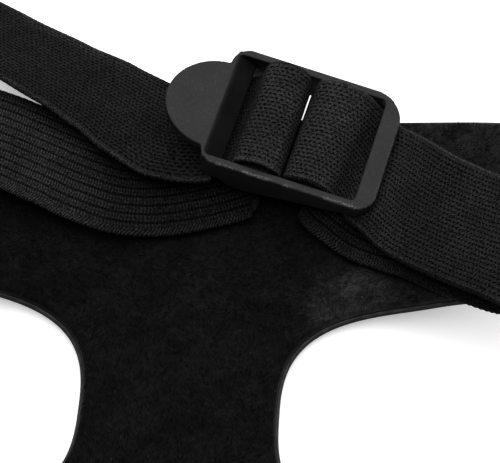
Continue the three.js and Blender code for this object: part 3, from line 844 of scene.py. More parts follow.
# %% Scatter the fibres
PILE_COUNT = 47000
PILE_SEED = 7
PILE_SPAN = ((-84.0, -104.0), (84.0, 26.0))
PILE_EDGE = 1.2
PILE_PITCH = 4.0
EYE_CLEAR = 1.0
SWIRL_SIZE = 7.0
SWIRL_LAYER = 5
FOREHEAD_START, FOREHEAD_RUN = -32.0, 22.0
FIBRE_WIDTHS = (0.06, 0.11)
FIBRE_LENGTHS = (0.8, 2.0)
FIBRE_RISES = (0.1, 0.5)
FIBRE_SUNK = 0.06


def inside_outline(points, outline):
    """Whether each point is inside a closed outline, by counting the edges to its right."""
    u, v = points[:, :1], points[:, 1:]
    start, end = outline, np.roll(outline, -1, axis=0)
    spans = (start[:, 1] > v) != (end[:, 1] > v)
    slope = (end[:, 0] - start[:, 0]) / (end[:, 1] - start[:, 1] + 1e-12)
    crossing = start[:, 0] + (v - start[:, 1]) * slope
    return (spans & (u < crossing)).sum(axis=1) % 2 == 1


def pile_roots(rng):
    """Scattered places that are on the lining and off the eye holes."""
    tries = rng.uniform(*PILE_SPAN, (2 * PILE_COUNT, 2))
    folded = np.abs(tries * (1, 0)) + tries * (0, 1)
    eye_halves = (EYE["half_width"] + EYE_CLEAR, EYE["half_height"] + EYE_CLEAR)
    shares = np.abs((folded - (EYE["u"], EYE["v"])) / eye_halves)
    off_hole = (shares ** EYE["power"]).sum(axis=1) > 1
    return tries[off_hole & inside_outline(folded, half_loops(PILE_EDGE, PILE_PITCH)[1])][:PILE_COUNT]


def pile_directions(roots, rng):
    """Unit directions of the fibres on the flat lining: down the nose, every way on the forehead."""
    swirl = np.array([unevenness(u, v, SWIRL_SIZE, SWIRL_LAYER) for u, v in roots])
    forehead = np.clip((roots[:, 1] - FOREHEAD_START) / FOREHEAD_RUN, 0, 1)
    turn = -math.pi / 2 + swirl * (0.7 + 4 * forehead) + rng.normal(0, 0.3 + 0.5 * forehead)
    return np.stack([np.cos(turn), np.sin(turn)], axis=1)


def pile_points(roots, rng):
    """Four corners of each fibre: two beside its root, one above it and the tip."""
    count = len(roots)
    ahead = pile_directions(roots, rng)
    aside = np.stack([-ahead[:, 1], ahead[:, 0]], axis=1)
    width = rng.uniform(*FIBRE_WIDTHS, (count, 1))
    tips = roots + ahead * rng.uniform(*FIBRE_LENGTHS, (count, 1))
    ground = LINING_TOP - FIBRE_SUNK + np.array([tuft_height(u, v) for u, v in roots])[:, None]
    rise = rng.uniform(*FIBRE_RISES, (count, 1))
    left, right = roots + aside * width, roots - aside * width
    corners = [(left, ground), (right, ground), (roots, ground + width), (tips, ground + rise)]
    flat = np.stack([np.concatenate([place, height], axis=1) for place, height in corners], axis=1)
    return flat.reshape(-1, 3)


# %% Pile
PATCH_SIZE = 4.5
PATCH_LAYER = 11
LINT_SHARE = 0.002
LINT_SHADE = 1.6


def pile_shades(roots, rng):
    """Most fibres are dark, some are paler, a few are lint. One side and one spot get a painted sheen."""
    # painted sheen on one side and at one spot, where the guard turns towards the light
    painted_sheen = np.clip((roots[:, 0] - SHEEN_SIDE[0]) / (SHEEN_SIDE[1] - SHEEN_SIDE[0]), 0, 1)
    spot = np.clip(1.2 - np.hypot(roots[:, 0] - SHEEN_SPOT[0], roots[:, 1] - SHEEN_SPOT[1]) / 12, 0, 1)
    patches = np.array([unevenness(u, v, PATCH_SIZE, PATCH_LAYER) for u, v in roots])
    pile_tone = 0.62 + 0.9 * np.maximum(painted_sheen, 2.6 * spot)
    shade = rng.beta(2.0, 8.0, len(roots)) * pile_tone * (1 + 0.7 * patches)
    return np.where(rng.uniform(size=len(roots)) < LINT_SHARE, LINT_SHADE, shade)


def pile_piece():
    rng = np.random.default_rng(PILE_SEED)
    roots = pile_roots(rng)
    flat = pile_points(roots, rng)
    places = raised(flat[:, 0], flat[:, 1], flat[:, 2]) * MM
    spike = np.array([(0, 1, 2), (0, 3, 1), (1, 3, 2), (0, 2, 3)])
    faces = (np.arange(len(roots))[:, None, None] * 4 + spike).reshape(-1, 3)
    mesh = bpy.data.meshes.new("plush_pile")
    mesh.from_pydata(places.tolist(), [], faces.tolist())
    shade = mesh.attributes.new("shade", "FLOAT", "POINT")
    shade.data.foreach_set("value", pile_shades(roots, rng).repeat(4))
    mesh.materials.append(plush_fibre)
    mesh.shade_smooth()
    return in_scene("plush_pile", mesh)


pile = pile_piece()
finish_piece(pile, "plush")

# %% Measure the lining
lining_flat.normal_update()
lining_area = sum(face.calc_area() for face in lining_flat.faces if face.normal.z > 0.3)

# %% [markdown]
# The head strap
#
# A strap is cut flat, so we make it flat: a grid as long as the strap, rolled into a flat tube so that
# it has two faces and two edges, then laid along its route. The route goes through stations, each with
# a place and the direction of the strap's width. A bevelled curve would be quicker, but it chooses its
# own twist, and here the width has to follow the lining, the slots and the bars.

# %% Route through stations
AIR = 0.3
STRAP_CLEAR = STRAP_THICK / 2 + AIR
ON_LINING = LINING_TOP + STRAP_CLEAR
ON_STRAP = ON_LINING + STRAP_THICK + AIR
ON_WING = ON_LINING + 0.4
SPAN_STEPS = 24


def station(at, across, roll=0.0, sheared=False):
    at = np.asarray(at, float)
    across = np.asarray(across, float)
    return {"at": at, "across": across, "roll": roll, "sheared": sheared}


def span_curve(points, t):
    """One span of a smooth curve through points 1 and 2 of four, and its direction."""
    gaps = [max(np.linalg.norm(b - a), 1e-6) ** 0.5 for a, b in zip(points, points[1:])]
    slopes = [(b - a) / gap for a, b, gap in zip(points, points[1:], gaps)]
    two_steps = [(points[i + 2] - points[i]) / (gaps[i] + gaps[i + 1]) for i in range(2)]
    start = (slopes[0] - two_steps[0] + slopes[1]) * gaps[1]
    end = (slopes[1] - two_steps[1] + slopes[2]) * gaps[1]
    c2 = 3 * (points[2] - points[1]) - 2 * start - end
    c3 = 2 * (points[1] - points[2]) + start + end
    t = t[:, None]
    return points[1] + start * t + c2 * t**2 + c3 * t**3, start + 2 * c2 * t + 3 * c3 * t**2


def neighbours(values, i, closed):
    """Four values round span i, continued straight on past the ends of an open row."""
    count = len(values)
    if closed:
        return [values[(i + k) % count] for k in (-1, 0, 1, 2)]
    first = values[i - 1] if i > 0 else 2 * values[0] - values[1]
    last = values[i + 2] if i + 2 < count else 2 * values[-1] - values[-2]
    return [first, values[i], values[i + 1], last]


def rolled(vector, axis, degrees):
    return np.array(Matrix.Rotation(math.radians(degrees), 3, Vector(axis)) @ Vector(vector))


def strap_route(stations, closed):
    """Arrays of the route: run in millimetres, place, width direction and outward direction."""
    places = [s["at"] for s in stations]
    spans = len(stations) if closed else len(stations) - 1
    share = np.arange(SPAN_STEPS) / SPAN_STEPS
    curves = [span_curve(neighbours(places, i, closed), share) for i in range(spans)]
    tangents = [unit(slope[0]) for _, slope in curves]
    if not closed:
        tangents.append(unit(curves[-1][1][-1]))
    widths = []
    for s, tangent in zip(stations, tangents):
        width = s["across"] if s["sheared"] else unit(s["across"] - tangent * (s["across"] @ tangent))
        widths.append(rolled(width, tangent, s["roll"]))
    at = np.concatenate([line for line, _ in curves])
    along = unit(np.concatenate([slope for _, slope in curves]))
    ease = share[:, None] ** 2 * (3 - 2 * share[:, None])
    across = [widths[i] * (1 - ease) + widths[(i + 1) % len(widths)] * ease for i in range(spans)]
    across = unit(np.concatenate(across))
    if closed:
        at, along, across = (np.concatenate([a, a[:1]]) for a in (at, along, across))
    else:
        at = np.concatenate([at, [places[-1]]])
        along = np.concatenate([along, [tangents[-1]]])
        across = np.concatenate([across, [widths[-1]]])
    run = np.concatenate([[0], np.cumsum(np.linalg.norm(np.diff(at, axis=0), axis=1))])
    return {"run": run, "at": at, "across": across, "out": unit(np.cross(along, across))}


def along_route(route, run, key):
    return np.stack([np.interp(run, route["run"], route[key][:, k]) for k in range(3)], axis=1)


# %% [markdown]
# Stations of the strap
#
# The strap lies on the lining, goes through the wings, stands free as an arch and turns round the
# bars of the buckle. One list of points in space would do, but a station is easier to choose in the
# measures of what it lies on, so there are four kinds of station. The turns round a bar are worked out.

# %% Kinds of station
BUCKLE_LEVEL = 9.9
BUCKLE_YAW = -14.0
BUCKLE_TILT = 5.5
buckle_yaw = Matrix.Rotation(math.radians(BUCKLE_YAW), 3, "Z")
buckle_turn = buckle_yaw @ Matrix.Rotation(math.radians(BUCKLE_TILT), 3, "Y")
BUCKLE_AXES = np.array(buckle_turn)
BUCKLE_PLACE = np.array([*BUCKLE_MIDDLE, BUCKLE_LEVEL])


def turned(degrees):
    return np.array([-math.sin(math.radians(degrees)), math.cos(math.radians(degrees)), 0])


def free_stations(rows):
    return [station((x, y, z), turned(turn), roll) for x, y, z, turn, roll in rows]


def lying_stations(rows, level):
    """Rows of u, v, height over a level, and roll, on the guard."""
    return [station(raised(u, v, level + over), sheet_axes(u, v)[1], roll) for u, v, over, roll in rows]


def wing_stations(side, rows):
    slant = math.radians(side * WING["slant"])
    made = []
    for out, height in rows:
        u, v = wing_flat(side, out)
        along, up, _ = sheet_axes(u, v)
        made.append(station(raised(u, v, height), up * math.cos(slant) + along * math.sin(slant)))
    return made


def buckle_stations(rows):
    made = []
    for x, y, z, skew, roll in rows:
        at = BUCKLE_AXES @ (x, y, z) + BUCKLE_PLACE
        made.append(station(at, BUCKLE_AXES @ turned(-skew), roll, sheared=True))
    return made


print("buckle at", BUCKLE_PLACE, "mm, turned", BUCKLE_YAW, "degrees")

# %% Turns round the buckle's bars
BAR_HALF_THICK = 1.5
BAR_LEVEL = 3.1
BARS = [
    {"middle": -5.75, "half": 3.85, "rise": 2.6, "roll": -3.0},
    {"middle": 5.8, "half": 3.9, "rise": 2.1, "roll": 5.0},
]
LOOP_SHOULDER = 0.75
LEAD_FADE = 120.0


def round_bar(bar, end, angle):
    """Where the strap's middle is at an angle round one end of a bar, and its roll there."""
    radius = BAR_HALF_THICK + STRAP_CLEAR
    up = math.sin(math.radians(angle))
    over = max(up, 0)
    x = bar["middle"] + end * (bar["half"] - BAR_HALF_THICK + radius * math.cos(math.radians(angle)))
    return x, BAR_LEVEL + radius * up + bar["rise"] * LOOP_SHOULDER * over, bar["roll"] * over**3


def turn_up(bar, end, y=0.0, top_skew=0.0, lead_y=0.0, lead_skew=0.0):
    """From under one end of a bar to the middle of its top. The lead fades out on the way."""
    rows = []
    for angle in range(-90, 91, 30):
        x, z, roll = round_bar(bar, end, angle)
        lead = max(0, -angle / LEAD_FADE)
        skew = lead_skew * lead + top_skew * max(0, math.sin(math.radians(angle)))
        rows.append((x, y + lead_y * lead, z, skew, roll))
    crest = BAR_LEVEL + BAR_HALF_THICK + STRAP_CLEAR + bar["rise"]
    return rows + [(bar["middle"], y, crest, top_skew, bar["roll"])]


def turn_down(bar, end, y):
    """From the top down to the side of the bar."""
    turns = [round_bar(bar, end, angle) for angle in (90, 60, 30, 0)]
    return [(x, y, z, 0, roll) for x, z, roll in turns]


# %% Left strap's stations
STRIP = SLOT["strip"]
# out, height
LEFT_WING = [
    (15, 3.8), (9, 3.6), (4, 4), (0, ON_WING), (-4, ON_WING), (-STRIP, ON_WING),
    (-STRIP - 1, LINING_TOP + 0.9), (-STRIP - 1.4, LINING_TOP - 0.4), (-STRIP - 1.3, 0),
    (-STRIP - 0.8, -0.8), (-STRIP, -STRAP_CLEAR), (-4, -STRAP_CLEAR), (0, -STRAP_CLEAR),
    (4, 0.2), (9, 1.2), (14, 1.4),
]
# x, y, z, turn, roll
LEFT_ARCH = [
    (-90, -28.5, 66, 8, 0), (-91.5, -25.5, 75, 30, 0), (-90, -18.5, 82.5, 52, 0),
    (-85.5, -9, 86, 58, 0), (-79.5, 0.5, 83, 54, 0), (-74.5, 8, 74.5, 46, 0),
    (-70, 13, 61.5, 34, 0), (-66, 16, 46.5, 20, 0), (-60.8, 16.4, 31, 8, -2), (-53.5, 12.8, 17, 0, -6),
]
# u, v, over the lining, roll
LEFT_LYING = [
    (-43, 10.3, 2.7, -7), (-34, 8.5, 2.4, -7), (-25, 6.2, 1.9, -5), (-16, 4.3, 1.2, -3),
    (-8, 4.9, 0.8, 0), (0, 7, 0.8, 1), (7, 9.4, 1.1, 3),
]
# x, y, z, skew, roll
LEFT_UNDER_BUCKLE = [(-7, -5, -3.8, -15, 4), (-5.4, -0.35, -2.6, -8, 2)]
LEFT_LOOP_Y = 0.1
TAIL_IN_SLOT = [(-11.4, 0.1, 1.3, 0, 0), (-12.9, -0.1, -0.3, 1, 0), (-15.6, -0.5, -1.3, 2, 0)]
# x, y, z, turn, roll
LEFT_TAIL = [
    (0.5, 16, 9.5, 0, 2), (-7, 16.5, 8.4, 0, 8), (-14, 20.4, 7.5, 0, 15), (-22, 25.8, 7.2, 0, 18),
    (-32, 30.9, 8, 0, 21), (-44, 36, 10.4, 0, 24), (-56, 41.6, 12, 0, 26),
]
left_loop = turn_up(BARS[0], 1, LEFT_LOOP_Y, top_skew=-1.0, lead_y=-0.1, lead_skew=-3.0)
left_stations = (
    wing_stations(-1, LEFT_WING)
    + free_stations(LEFT_ARCH)
    + lying_stations(LEFT_LYING, ON_LINING)
    + buckle_stations(LEFT_UNDER_BUCKLE + left_loop + turn_down(BARS[0], -1, LEFT_LOOP_Y) + TAIL_IN_SLOT)
    + free_stations(LEFT_TAIL)
)
left_route = strap_route(left_stations, closed=False)
print("left strap is", round(left_route["run"][-1], 1), "mm long")

# %% Right strap's stations
# x, y, z, skew, roll
RIGHT_TOP = [
    (8.8, 0, 7.1, 3, 4.5), (11.4, 0, 5.5, 3, 4), (13.4, 0, 3.2, 3, 5), (15, -0.3, 1.8, 5, 6),
    (16.8, -1.7, 1.6, 10, 8), (18.8, -3.1, 2.1, 16, 9), (21.6, -4.6, 3.7, 22, 12),
]
# u, v, over the lower strand, roll
RIGHT_UPPER_LYING = [(54, -2.9, 3.2, 1), (67, -10.9, 3, -5), (79, -17.7, 2.3, -5)]
# out, height
RIGHT_WING = [
    (-13, ON_STRAP + 0.9), (-8, 6.4), (-4, 5.6), (0, ON_WING), (0.9, LINING_TOP + 0.9),
    (STRAP_CLEAR + 0.2, LINING_TOP), (STRAP_CLEAR + 0.2, 0), (0.9, -0.75), (0, -STRAP_CLEAR),
    (-4, -STRAP_CLEAR), (-STRIP, -STRAP_CLEAR), (-STRIP - 1, -0.7), (-STRIP - 1.5, 0.4),
    (-STRIP - 1.8, 2), (-STRIP - 2.3, 3.8), (-STRIP - 4, 4.9),
]
# u, v, over the lining, roll
RIGHT_LOWER_LYING = [(79, -19.8, 0.8, 0), (67, -13.2, 0.8, 0), (54, -5.9, 0.8, 0), (42, -0.6, 0.9, -2)]
# x, y, z, skew, roll
RIGHT_UNDER_BUCKLE = [(14.8, -7.4, -1.1, 26, -8.5), (10.8, -4.8, -1.9, 22, -5), (7.4, -0.8, -1.4, 9, -1)]
right_stations = (
    buckle_stations(turn_up(BARS[1], -1, top_skew=3.0) + RIGHT_TOP)
    + lying_stations(RIGHT_UPPER_LYING, ON_STRAP)
    + wing_stations(1, RIGHT_WING)
    + lying_stations(RIGHT_LOWER_LYING, ON_LINING)
    + buckle_stations(RIGHT_UNDER_BUCKLE)
)
right_route = strap_route(right_stations, closed=True)
print("right strap's loop is", round(right_route["run"][-1], 1), "mm long")

# %% [markdown]
# Section of the elastic
#
# A row of the strap's grid goes once round the section: the knit face, one round edge, the ribbed face
# and the other edge. The grooves between the ribs are modelled, because they show on the strap's bends,
# and so are the small waves of the edges. The slits and dashes are too fine for that, and are painted.

# %% Section of the elastic
EDGE_RUN = math.pi * EDGE_RADIUS
ROW_STEP = 0.3
KNIT_COLUMNS = 20
EDGE_COLUMNS = 4
PICOT_PITCH = 1.5
PICOT_DEPTH = 0.07
GROOVE_HALF = 0.25
GROOVE_DEPTH = 0.22
KNIT_SLOT, RIB_SLOT = 0, 1


def rib_columns():
    """Columns of the ribbed face, from plus to minus across: the grooves, their edges and the ribs."""
    ribs = math.floor(HALF_FLAT / RIB_PITCH)
    middles = np.arange(-ribs, ribs + 1) * RIB_PITCH
    grooves = np.concatenate([middles - RIB_PITCH / 2, [middles[-1] + RIB_PITCH / 2]])
    shoulder = RIB_PITCH / 2 - GROOVE_HALF
    found = np.concatenate([middles, middles - shoulder, middles + shoulder, grooves])
    return np.sort(found[np.abs(found) < HALF_FLAT - 0.05])[::-1]


def column_runs():
    """Where each column of the grid lies on the way round the section, in millimetres."""
    edge = np.arange(EDGE_COLUMNS) / EDGE_COLUMNS * EDGE_RUN
    knit = np.linspace(0, 2 * HALF_FLAT, KNIT_COLUMNS, endpoint=False)
    rib_start = 2 * HALF_FLAT + EDGE_RUN
    ribbed = rib_start + HALF_FLAT - np.concatenate([[HALF_FLAT], rib_columns()])
    last = rib_start + 2 * HALF_FLAT
    return np.concatenate([knit, 2 * HALF_FLAT + edge, ribbed, last + edge, [last + EDGE_RUN]])


def section(round_run, run):
    """Offsets across and outwards for points round the section. The knit face is outwards."""
    edge_one = 2 * HALF_FLAT
    face_two = edge_one + EDGE_RUN
    edge_two = face_two + 2 * HALF_FLAT
    on_edge_one = (round_run > edge_one) & (round_run < face_two)
    on_edge_two = round_run > edge_two
    on_ribs = (round_run >= face_two) & (round_run <= edge_two)
    angle = np.where(on_edge_two, round_run - edge_two, round_run - edge_one) / EDGE_RADIUS
    swell = EDGE_RADIUS + PICOT_DEPTH * np.cos(2 * np.pi * run / PICOT_PITCH) * np.sin(angle)
    across = np.where(on_ribs, HALF_FLAT - (round_run - face_two), round_run - HALF_FLAT)
    across = np.where(on_edge_one, HALF_FLAT + swell * np.sin(angle), across)
    across = np.where(on_edge_two, -HALF_FLAT - swell * np.sin(angle), across)
    from_rib = np.abs((across / RIB_PITCH + 0.5) % 1 - 0.5) * RIB_PITCH
    groove = np.clip((from_rib - RIB_PITCH / 2 + GROOVE_HALF) / GROOVE_HALF, 0, 1)
    out = np.where(on_ribs, -EDGE_RADIUS + GROOVE_DEPTH * groove, EDGE_RADIUS)
    out = np.where(on_edge_one, EDGE_RADIUS * np.cos(angle), out)
    out = np.where(on_edge_two, -EDGE_RADIUS * np.cos(angle), out)
    return across, out, on_ribs | on_edge_one | on_edge_two


print("a row of the strap's grid has", len(column_runs()), "points")

# %% Rolling and laying a strap
SEAM_WELD = 0.02


def laid_places(route, run, across, out):
    along_width = along_route(route, run, "across") * across[:, None]
    return along_route(route, run, "at") + along_width + along_route(route, run, "out") * out[:, None]


def strap_piece(name, route, closed, knit_side):
    length = route["run"][-1]
    runs_round = column_runs()
    columns = len(runs_round) - 1
    bm = bmesh.new()
    bmesh.ops.create_grid(bm, x_segments=columns, y_segments=round(length / ROW_STEP), size=0.5)
    flat = vertex_places(bm)
    round_run = runs_round[np.rint((flat[:, 0] + 0.5) * columns).astype(int)]
    run = (flat[:, 1] + 0.5) * length
    across, out, ribbed = section(round_run, run)
    uv = bm.loops.layers.uv.new("strap_mm")
    bm.verts.index_update()
    for face in bm.faces:
        corners = [loop.vert.index for loop in face.loops]
        face.material_index = RIB_SLOT if ribbed[corners].all() else KNIT_SLOT
        for loop, corner in zip(face.loops, corners):
            loop[uv].uv = (across[corner], run[corner])
    move_vertices(bm, laid_places(route, run, across * knit_side, out * knit_side))
    bmesh.ops.remove_doubles(bm, verts=bm.verts, dist=SEAM_WELD)
    if not closed:
        bmesh.ops.edgeloop_fill(bm, edges=[edge for edge in bm.edges if edge.is_boundary])
    bmesh.ops.recalc_face_normals(bm, faces=bm.faces)
    return place_mesh(name, bm, knit_face, rib_face)


strap_left = strap_piece("elastic_left", left_route, False, -1)
finish_piece(strap_left, "elastic", "strap_left")
strap_right = strap_piece("elastic_right", right_route, True, 1)
finish_piece(strap_right, "elastic", "strap_right")

# %% [markdown]
# The ladder-lock buckle
#
# The buckle is one moulding: a frame with a thumb tab, a slope from the tab down into the window, two
# bars for the straps and a slim end bar. It is built from flat outlines that are pulled up into plates,
# with the window and the undercuts carved out. A real moulding has no sharp edge. A bevel would trip
# over so many short edges that meet, so the body is remeshed finely and smoothed instead.

# %% Buckle sizes
WINDOW_LEFT, WINDOW_RIGHT = -17.6, 16.3
INNER_HALF = 13.1
WINDOW_CORNER = 1.2
RAIL_WIDTH = 1.8
RAIL_HEIGHT = 6.3
OUTER_HALF = INNER_HALF + RAIL_WIDTH
FRAME_LEFT, FRAME_RIGHT = -18.6, 20.6
FRAME_CORNER = 4.2
BACK_CORNER = 7.0
TAB = {"tip": -29.6, "root": FRAME_LEFT + 0.9, "root_half": 10.9, "thick": 2.2, "y": -0.6}
TAB_NECK = {"reach": 1.6, "wide": 13.2, "narrow": 10.2}
SLOPE = {"reach": 4.4, "drop": 3.7, "tip_back": 0.9, "tip_drop": 0.7, "root_narrowing": 0.89}
END_BAR = {"low": 4.5, "high": 6.1}
KEEL = 1.8
# x and height of the rails' lower edges
FRONT_KEEL = [(-13.2, 0), (-10.5, -KEEL), (-6, -KEEL), (3.5, 0.2), (FRAME_RIGHT, 3.3)]
BACK_KEEL = [(-16.6, 0), (-15, -KEEL), (6, -KEEL), (FRAME_RIGHT, 0.8)]
PAST = 2.0
VOXEL = 0.25
print("buckle frame is", round(FRAME_RIGHT - FRAME_LEFT, 1), "by", 2 * OUTER_HALF, "mm")

# %% Plates
CORNER_SEGMENTS = 12
TAB_SEGMENTS = 96
NEAR = 0.1


def pulled_up(bm, low, high):
    thicken(bm, high - low)
    bmesh.ops.translate(bm, vec=(0, 0, low), verts=bm.verts)
    bmesh.ops.recalc_face_normals(bm, faces=bm.faces)
    return bm


def plate(x0, x1, half_y, low, high, corner=0.0, back_corner=0.0):
    """A plate with rounded corners. The one at the back of the far end may be rounder."""
    bm = bmesh.new()
    bmesh.ops.create_grid(bm, x_segments=1, y_segments=1, size=1)
    bmesh.ops.scale(bm, vec=((x1 - x0) / 2, half_y, 1), verts=bm.verts)
    bmesh.ops.translate(bm, vec=((x0 + x1) / 2, 0, 0), verts=bm.verts)
    back = [vert for vert in bm.verts if vert.co.x > x1 - NEAR and vert.co.y > 0 and back_corner]
    others = [vert for vert in bm.verts if vert not in back]
    for verts, radius in ((back, back_corner), (others, corner)):
        if verts and radius:
            round_off(bm, verts, radius, CORNER_SEGMENTS, "VERTICES")
    return pulled_up(bm, low, high)


def tab_plate():
    bm = bmesh.new()
    bmesh.ops.create_circle(bm, cap_ends=True, segments=TAB_SEGMENTS, radius=1)
    bmesh.ops.scale(bm, vec=(TAB["root"] - TAB["tip"], TAB["root_half"], 1), verts=bm.verts)
    bmesh.ops.translate(bm, vec=(TAB["root"], TAB["y"], 0), verts=bm.verts)
    return pulled_up(bm, RAIL_HEIGHT - TAB["thick"], RAIL_HEIGHT)


def tab_neck():
    """Fills the corners where the tab grows out of the frame."""
    end = FRAME_LEFT - TAB_NECK["reach"]
    bm = plate(end, TAB["root"], TAB_NECK["wide"], RAIL_HEIGHT - TAB["thick"], RAIL_HEIGHT)
    far = [vert for vert in bm.verts if vert.co.x < end + NEAR]
    bmesh.ops.scale(bm, vec=(1, TAB_NECK["narrow"] / TAB_NECK["wide"], 1), verts=far)
    bmesh.ops.translate(bm, vec=(0, TAB["y"], 0), verts=far)
    return bm


# %% Bars, slope and keels
BAR_ROUNDING = 0.98
BAR_SEGMENTS = 6
KEEL_CUTTER_HALF = 10.0


def split_at(bm, x):
    bmesh.ops.bisect_plane(bm, geom=everything(bm), plane_co=(x, 0, 0), plane_no=(1, 0, 0))


def cross_bar(bar):
    bm = bmesh.new()
    bmesh.ops.create_cube(bm, size=2)
    bmesh.ops.scale(bm, vec=(bar["half"], INNER_HALF + RAIL_WIDTH / 2, BAR_HALF_THICK), verts=bm.verts)
    round_off(bm, edges_along(bm, 1), BAR_HALF_THICK * BAR_ROUNDING, BAR_SEGMENTS)
    bmesh.ops.translate(bm, vec=(bar["middle"], 0, BAR_LEVEL), verts=bm.verts)
    return bm


def slope_block():
    """Slope from the tab's inner edge down into the window, made by bending a plate at that edge."""
    tip = WINDOW_LEFT + SLOPE["reach"]
    root = (FRAME_LEFT + WINDOW_LEFT) / 2
    bm = plate(root, tip, INNER_HALF + RAIL_WIDTH / 2, RAIL_HEIGHT - TAB["thick"], RAIL_HEIGHT)
    split_at(bm, WINDOW_LEFT)
    for vert in bm.verts:
        if vert.co.x < root + NEAR:
            vert.co.y *= SLOPE["root_narrowing"]
        if vert.co.z > RAIL_HEIGHT - NEAR:
            vert.co.z -= SLOPE["drop"] * max(0, (vert.co.x - WINDOW_LEFT) / SLOPE["reach"])
        else:
            share = (vert.co.x - root) / (tip - root)
            vert.co.x -= share * SLOPE["tip_back"]
            vert.co.z -= share * (SLOPE["drop"] + SLOPE["tip_drop"] - TAB["thick"])
    return bm


def keel_cutter(side, edge):
    """What lies below a rail's lower edge: a plate, cut at each bend of the edge and pulled to it."""
    bm = plate(FRAME_LEFT - PAST, FRAME_RIGHT + PAST, KEEL_CUTTER_HALF, -KEEL - PAST, 0)
    bmesh.ops.translate(bm, vec=(0, side * KEEL_CUTTER_HALF, 0), verts=bm.verts)
    xs, heights = zip(*edge)
    for x in xs:
        split_at(bm, x)
    for vert in bm.verts:
        if vert.co.z > -NEAR:
            vert.co.z = np.interp(vert.co.x, xs, heights)
    return cutter(bm, "keel")


def joined(whole, *parts):
    for part in parts:
        mesh = mesh_from(part, "part")
        whole.from_mesh(mesh)
        bpy.data.meshes.remove(mesh)
    return whole


# %% Buckle body


def window():
    opening = plate(WINDOW_LEFT, WINDOW_RIGHT, INNER_HALF, -KEEL - PAST, RAIL_HEIGHT + PAST, WINDOW_CORNER)
    return cutter(opening, "window")


def frame_body():
    body = plate(FRAME_LEFT, FRAME_RIGHT, OUTER_HALF, -KEEL, RAIL_HEIGHT, FRAME_CORNER, BACK_CORNER)
    left, right = FRAME_LEFT - PAST, FRAME_RIGHT + PAST
    under, over, end = -KEEL - PAST, RAIL_HEIGHT + PAST, WINDOW_RIGHT - PAST
    under_tab = plate(left, WINDOW_LEFT + PAST, INNER_HALF, under, RAIL_HEIGHT - TAB["thick"])
    under_end = plate(end, right, INNER_HALF, under, END_BAR["low"])
    over_end = plate(end, right, INNER_HALF, END_BAR["high"], over)
    undercuts = [cutter(bm, "undercut") for bm in (under_tab, under_end, over_end)]
    return carve(body, *undercuts, keel_cutter(1, BACK_KEEL), keel_cutter(-1, FRONT_KEEL), window())


def moulding():
    tab = carve(joined(tab_plate(), tab_neck()), window())
    whole = joined(frame_body(), tab, slope_block(), cross_bar(BARS[0]), cross_bar(BARS[1]))
    return baked(
        whole,
        ("REMESH", {"mode": "VOXEL", "voxel_size": VOXEL, "use_smooth_shade": True}),
        ("SMOOTH", {"factor": 0.5, "iterations": 4}),
    )


# %% Wear and place of the buckle
EDGE_WEAR_AND_HIGHLIGHT = {"depth": 0.9, "fade": 0.5, "inset": 0.2, "rail_width": 0.32, "end_width": 0.3}
FRONT_WEAR_AND_HIGHLIGHT, BACK_WEAR_AND_HIGHLIGHT, END_WEAR_AND_HIGHLIGHT = 1.0, 0.25, 0.2
PAINTED_PIT_SHADE = {"depth": 0.15, "fade": 0.6, "beside": 0.2, "past": 4.0, "black": 0.9}


def rub_edges(bm):
    """Keeps each point's wear and painted highlight, most on the front rail's outer edge, and the slope's
    painted shade.

    The painted shade goes on a little past the slope, down the inner walls beside it.
    """
    wear_and_highlight = bm.verts.layers.float.new("wear_and_highlight")
    pit_shade = bm.verts.layers.float.new("pit_shade")
    x, y, z = vertex_places(bm).T
    # rubbed edges with a painted highlight, strongest along the front rail
    high = np.clip((z - RAIL_HEIGHT + EDGE_WEAR_AND_HIGHLIGHT["depth"]) / EDGE_WEAR_AND_HIGHLIGHT["fade"], 0, 1)
    to_outer = np.abs(np.abs(y) - OUTER_HALF + EDGE_WEAR_AND_HIGHLIGHT["inset"])
    to_end = np.abs(x - FRAME_RIGHT + EDGE_WEAR_AND_HIGHLIGHT["inset"])
    rail = np.where(y < 0, FRONT_WEAR_AND_HIGHLIGHT, BACK_WEAR_AND_HIGHLIGHT) * np.exp(-((to_outer / EDGE_WEAR_AND_HIGHLIGHT["rail_width"]) ** 2))
    end = END_WEAR_AND_HIGHLIGHT * np.exp(-((to_end / EDGE_WEAR_AND_HIGHLIGHT["end_width"]) ** 2))
    # painted shade deep in the window, on the slope and the inner walls beside it
    sunk = np.clip((RAIL_HEIGHT - z - PAINTED_PIT_SHADE["depth"]) / PAINTED_PIT_SHADE["fade"], 0, 1)
    inside = np.abs(y) < INNER_HALF + PAINTED_PIT_SHADE["beside"]
    on_slope = np.clip(WINDOW_LEFT + SLOPE["reach"] + PAINTED_PIT_SHADE["past"] - x, 0, 1) * (x > FRAME_LEFT)
    pit_shaded = PAINTED_PIT_SHADE["black"] * sunk * inside * on_slope
    for vert, rubbed_and_highlit, black in zip(bm.verts, high * np.maximum(rail, end), pit_shaded):
        vert[wear_and_highlight] = rubbed_and_highlit
        vert[pit_shade] = black


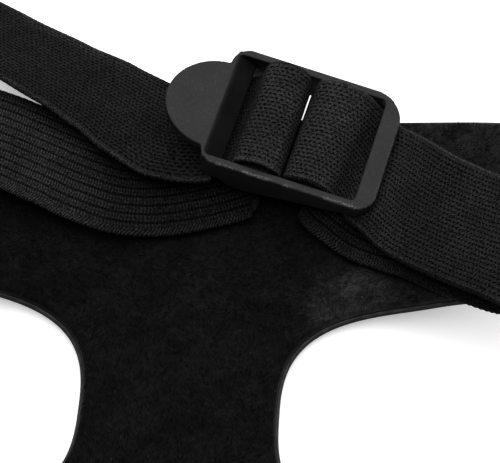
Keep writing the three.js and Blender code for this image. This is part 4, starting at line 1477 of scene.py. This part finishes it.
buckle_bm = moulding()
rub_edges(buckle_bm)
buckle_place = Matrix.Translation(BUCKLE_PLACE) @ buckle_turn.to_4x4()
bmesh.ops.transform(buckle_bm, matrix=buckle_place, verts=buckle_bm.verts)
buckle = place_mesh("buckle_frame", buckle_bm, buckle_plastic)
finish_piece(buckle, "buckle_plastic", "buckle")

# %% [markdown]
# Floor and light
#
# The guard lies on plain white, under one broad soft light overhead, a little behind it, in a dim room.
# The floor is like a light table, with a faint glow of its own, so it goes white even in the shade of
# the guard, and the blacks stay black.

# %% Floor
FLOOR_GLOW = 0.4
FLOOR_HALF = 3000.0
FLOOR_LEVEL = -0.05


def studio_floor():
    bm = bmesh.new()
    bmesh.ops.create_grid(bm, x_segments=1, y_segments=1, size=FLOOR_HALF)
    bmesh.ops.translate(bm, vec=(0, 0, FLOOR_LEVEL), verts=bm.verts)
    glow = {"Emission_Color": grey(1.0), "Emission_Strength": FLOOR_GLOW}
    white = {"Base_Color": grey(0.93), "Roughness": 1.0, "Specular_IOR_Level": 0.0}
    floor = place_mesh("floor", bm, new_finish("floor_white", **white, **glow)[0])
    return floor


floor = studio_floor()
print(floor.name, "glows at", FLOOR_GLOW)

# %% Light
ROOM_STRENGTH = 0.12
OVERHEAD = {"place": (0.0, 0.35, 1.1), "size": 2.2, "power": 40.0}


def soft_box(name, place, size, power):
    data = bpy.data.lights.new(name, "AREA")
    data.shape = "SQUARE"
    data.size = size
    data.energy = power
    light = in_scene(name, data)
    light.location = place
    light.rotation_euler = (-Vector(place)).to_track_quat("-Z", "Y").to_euler()
    return light


world = bpy.data.worlds.new("room")
world.use_nodes = True
world.node_tree.nodes["Background"].inputs["Color"].default_value = grey(1.0)
world.node_tree.nodes["Background"].inputs["Strength"].default_value = ROOM_STRENGTH
bpy.context.scene.world = world
overhead = soft_box("overhead", **OVERHEAD)
bpy.context.scene.view_settings.view_transform = "Standard"
print(overhead.name, "light of", OVERHEAD["size"], "m and", OVERHEAD["power"], "W")
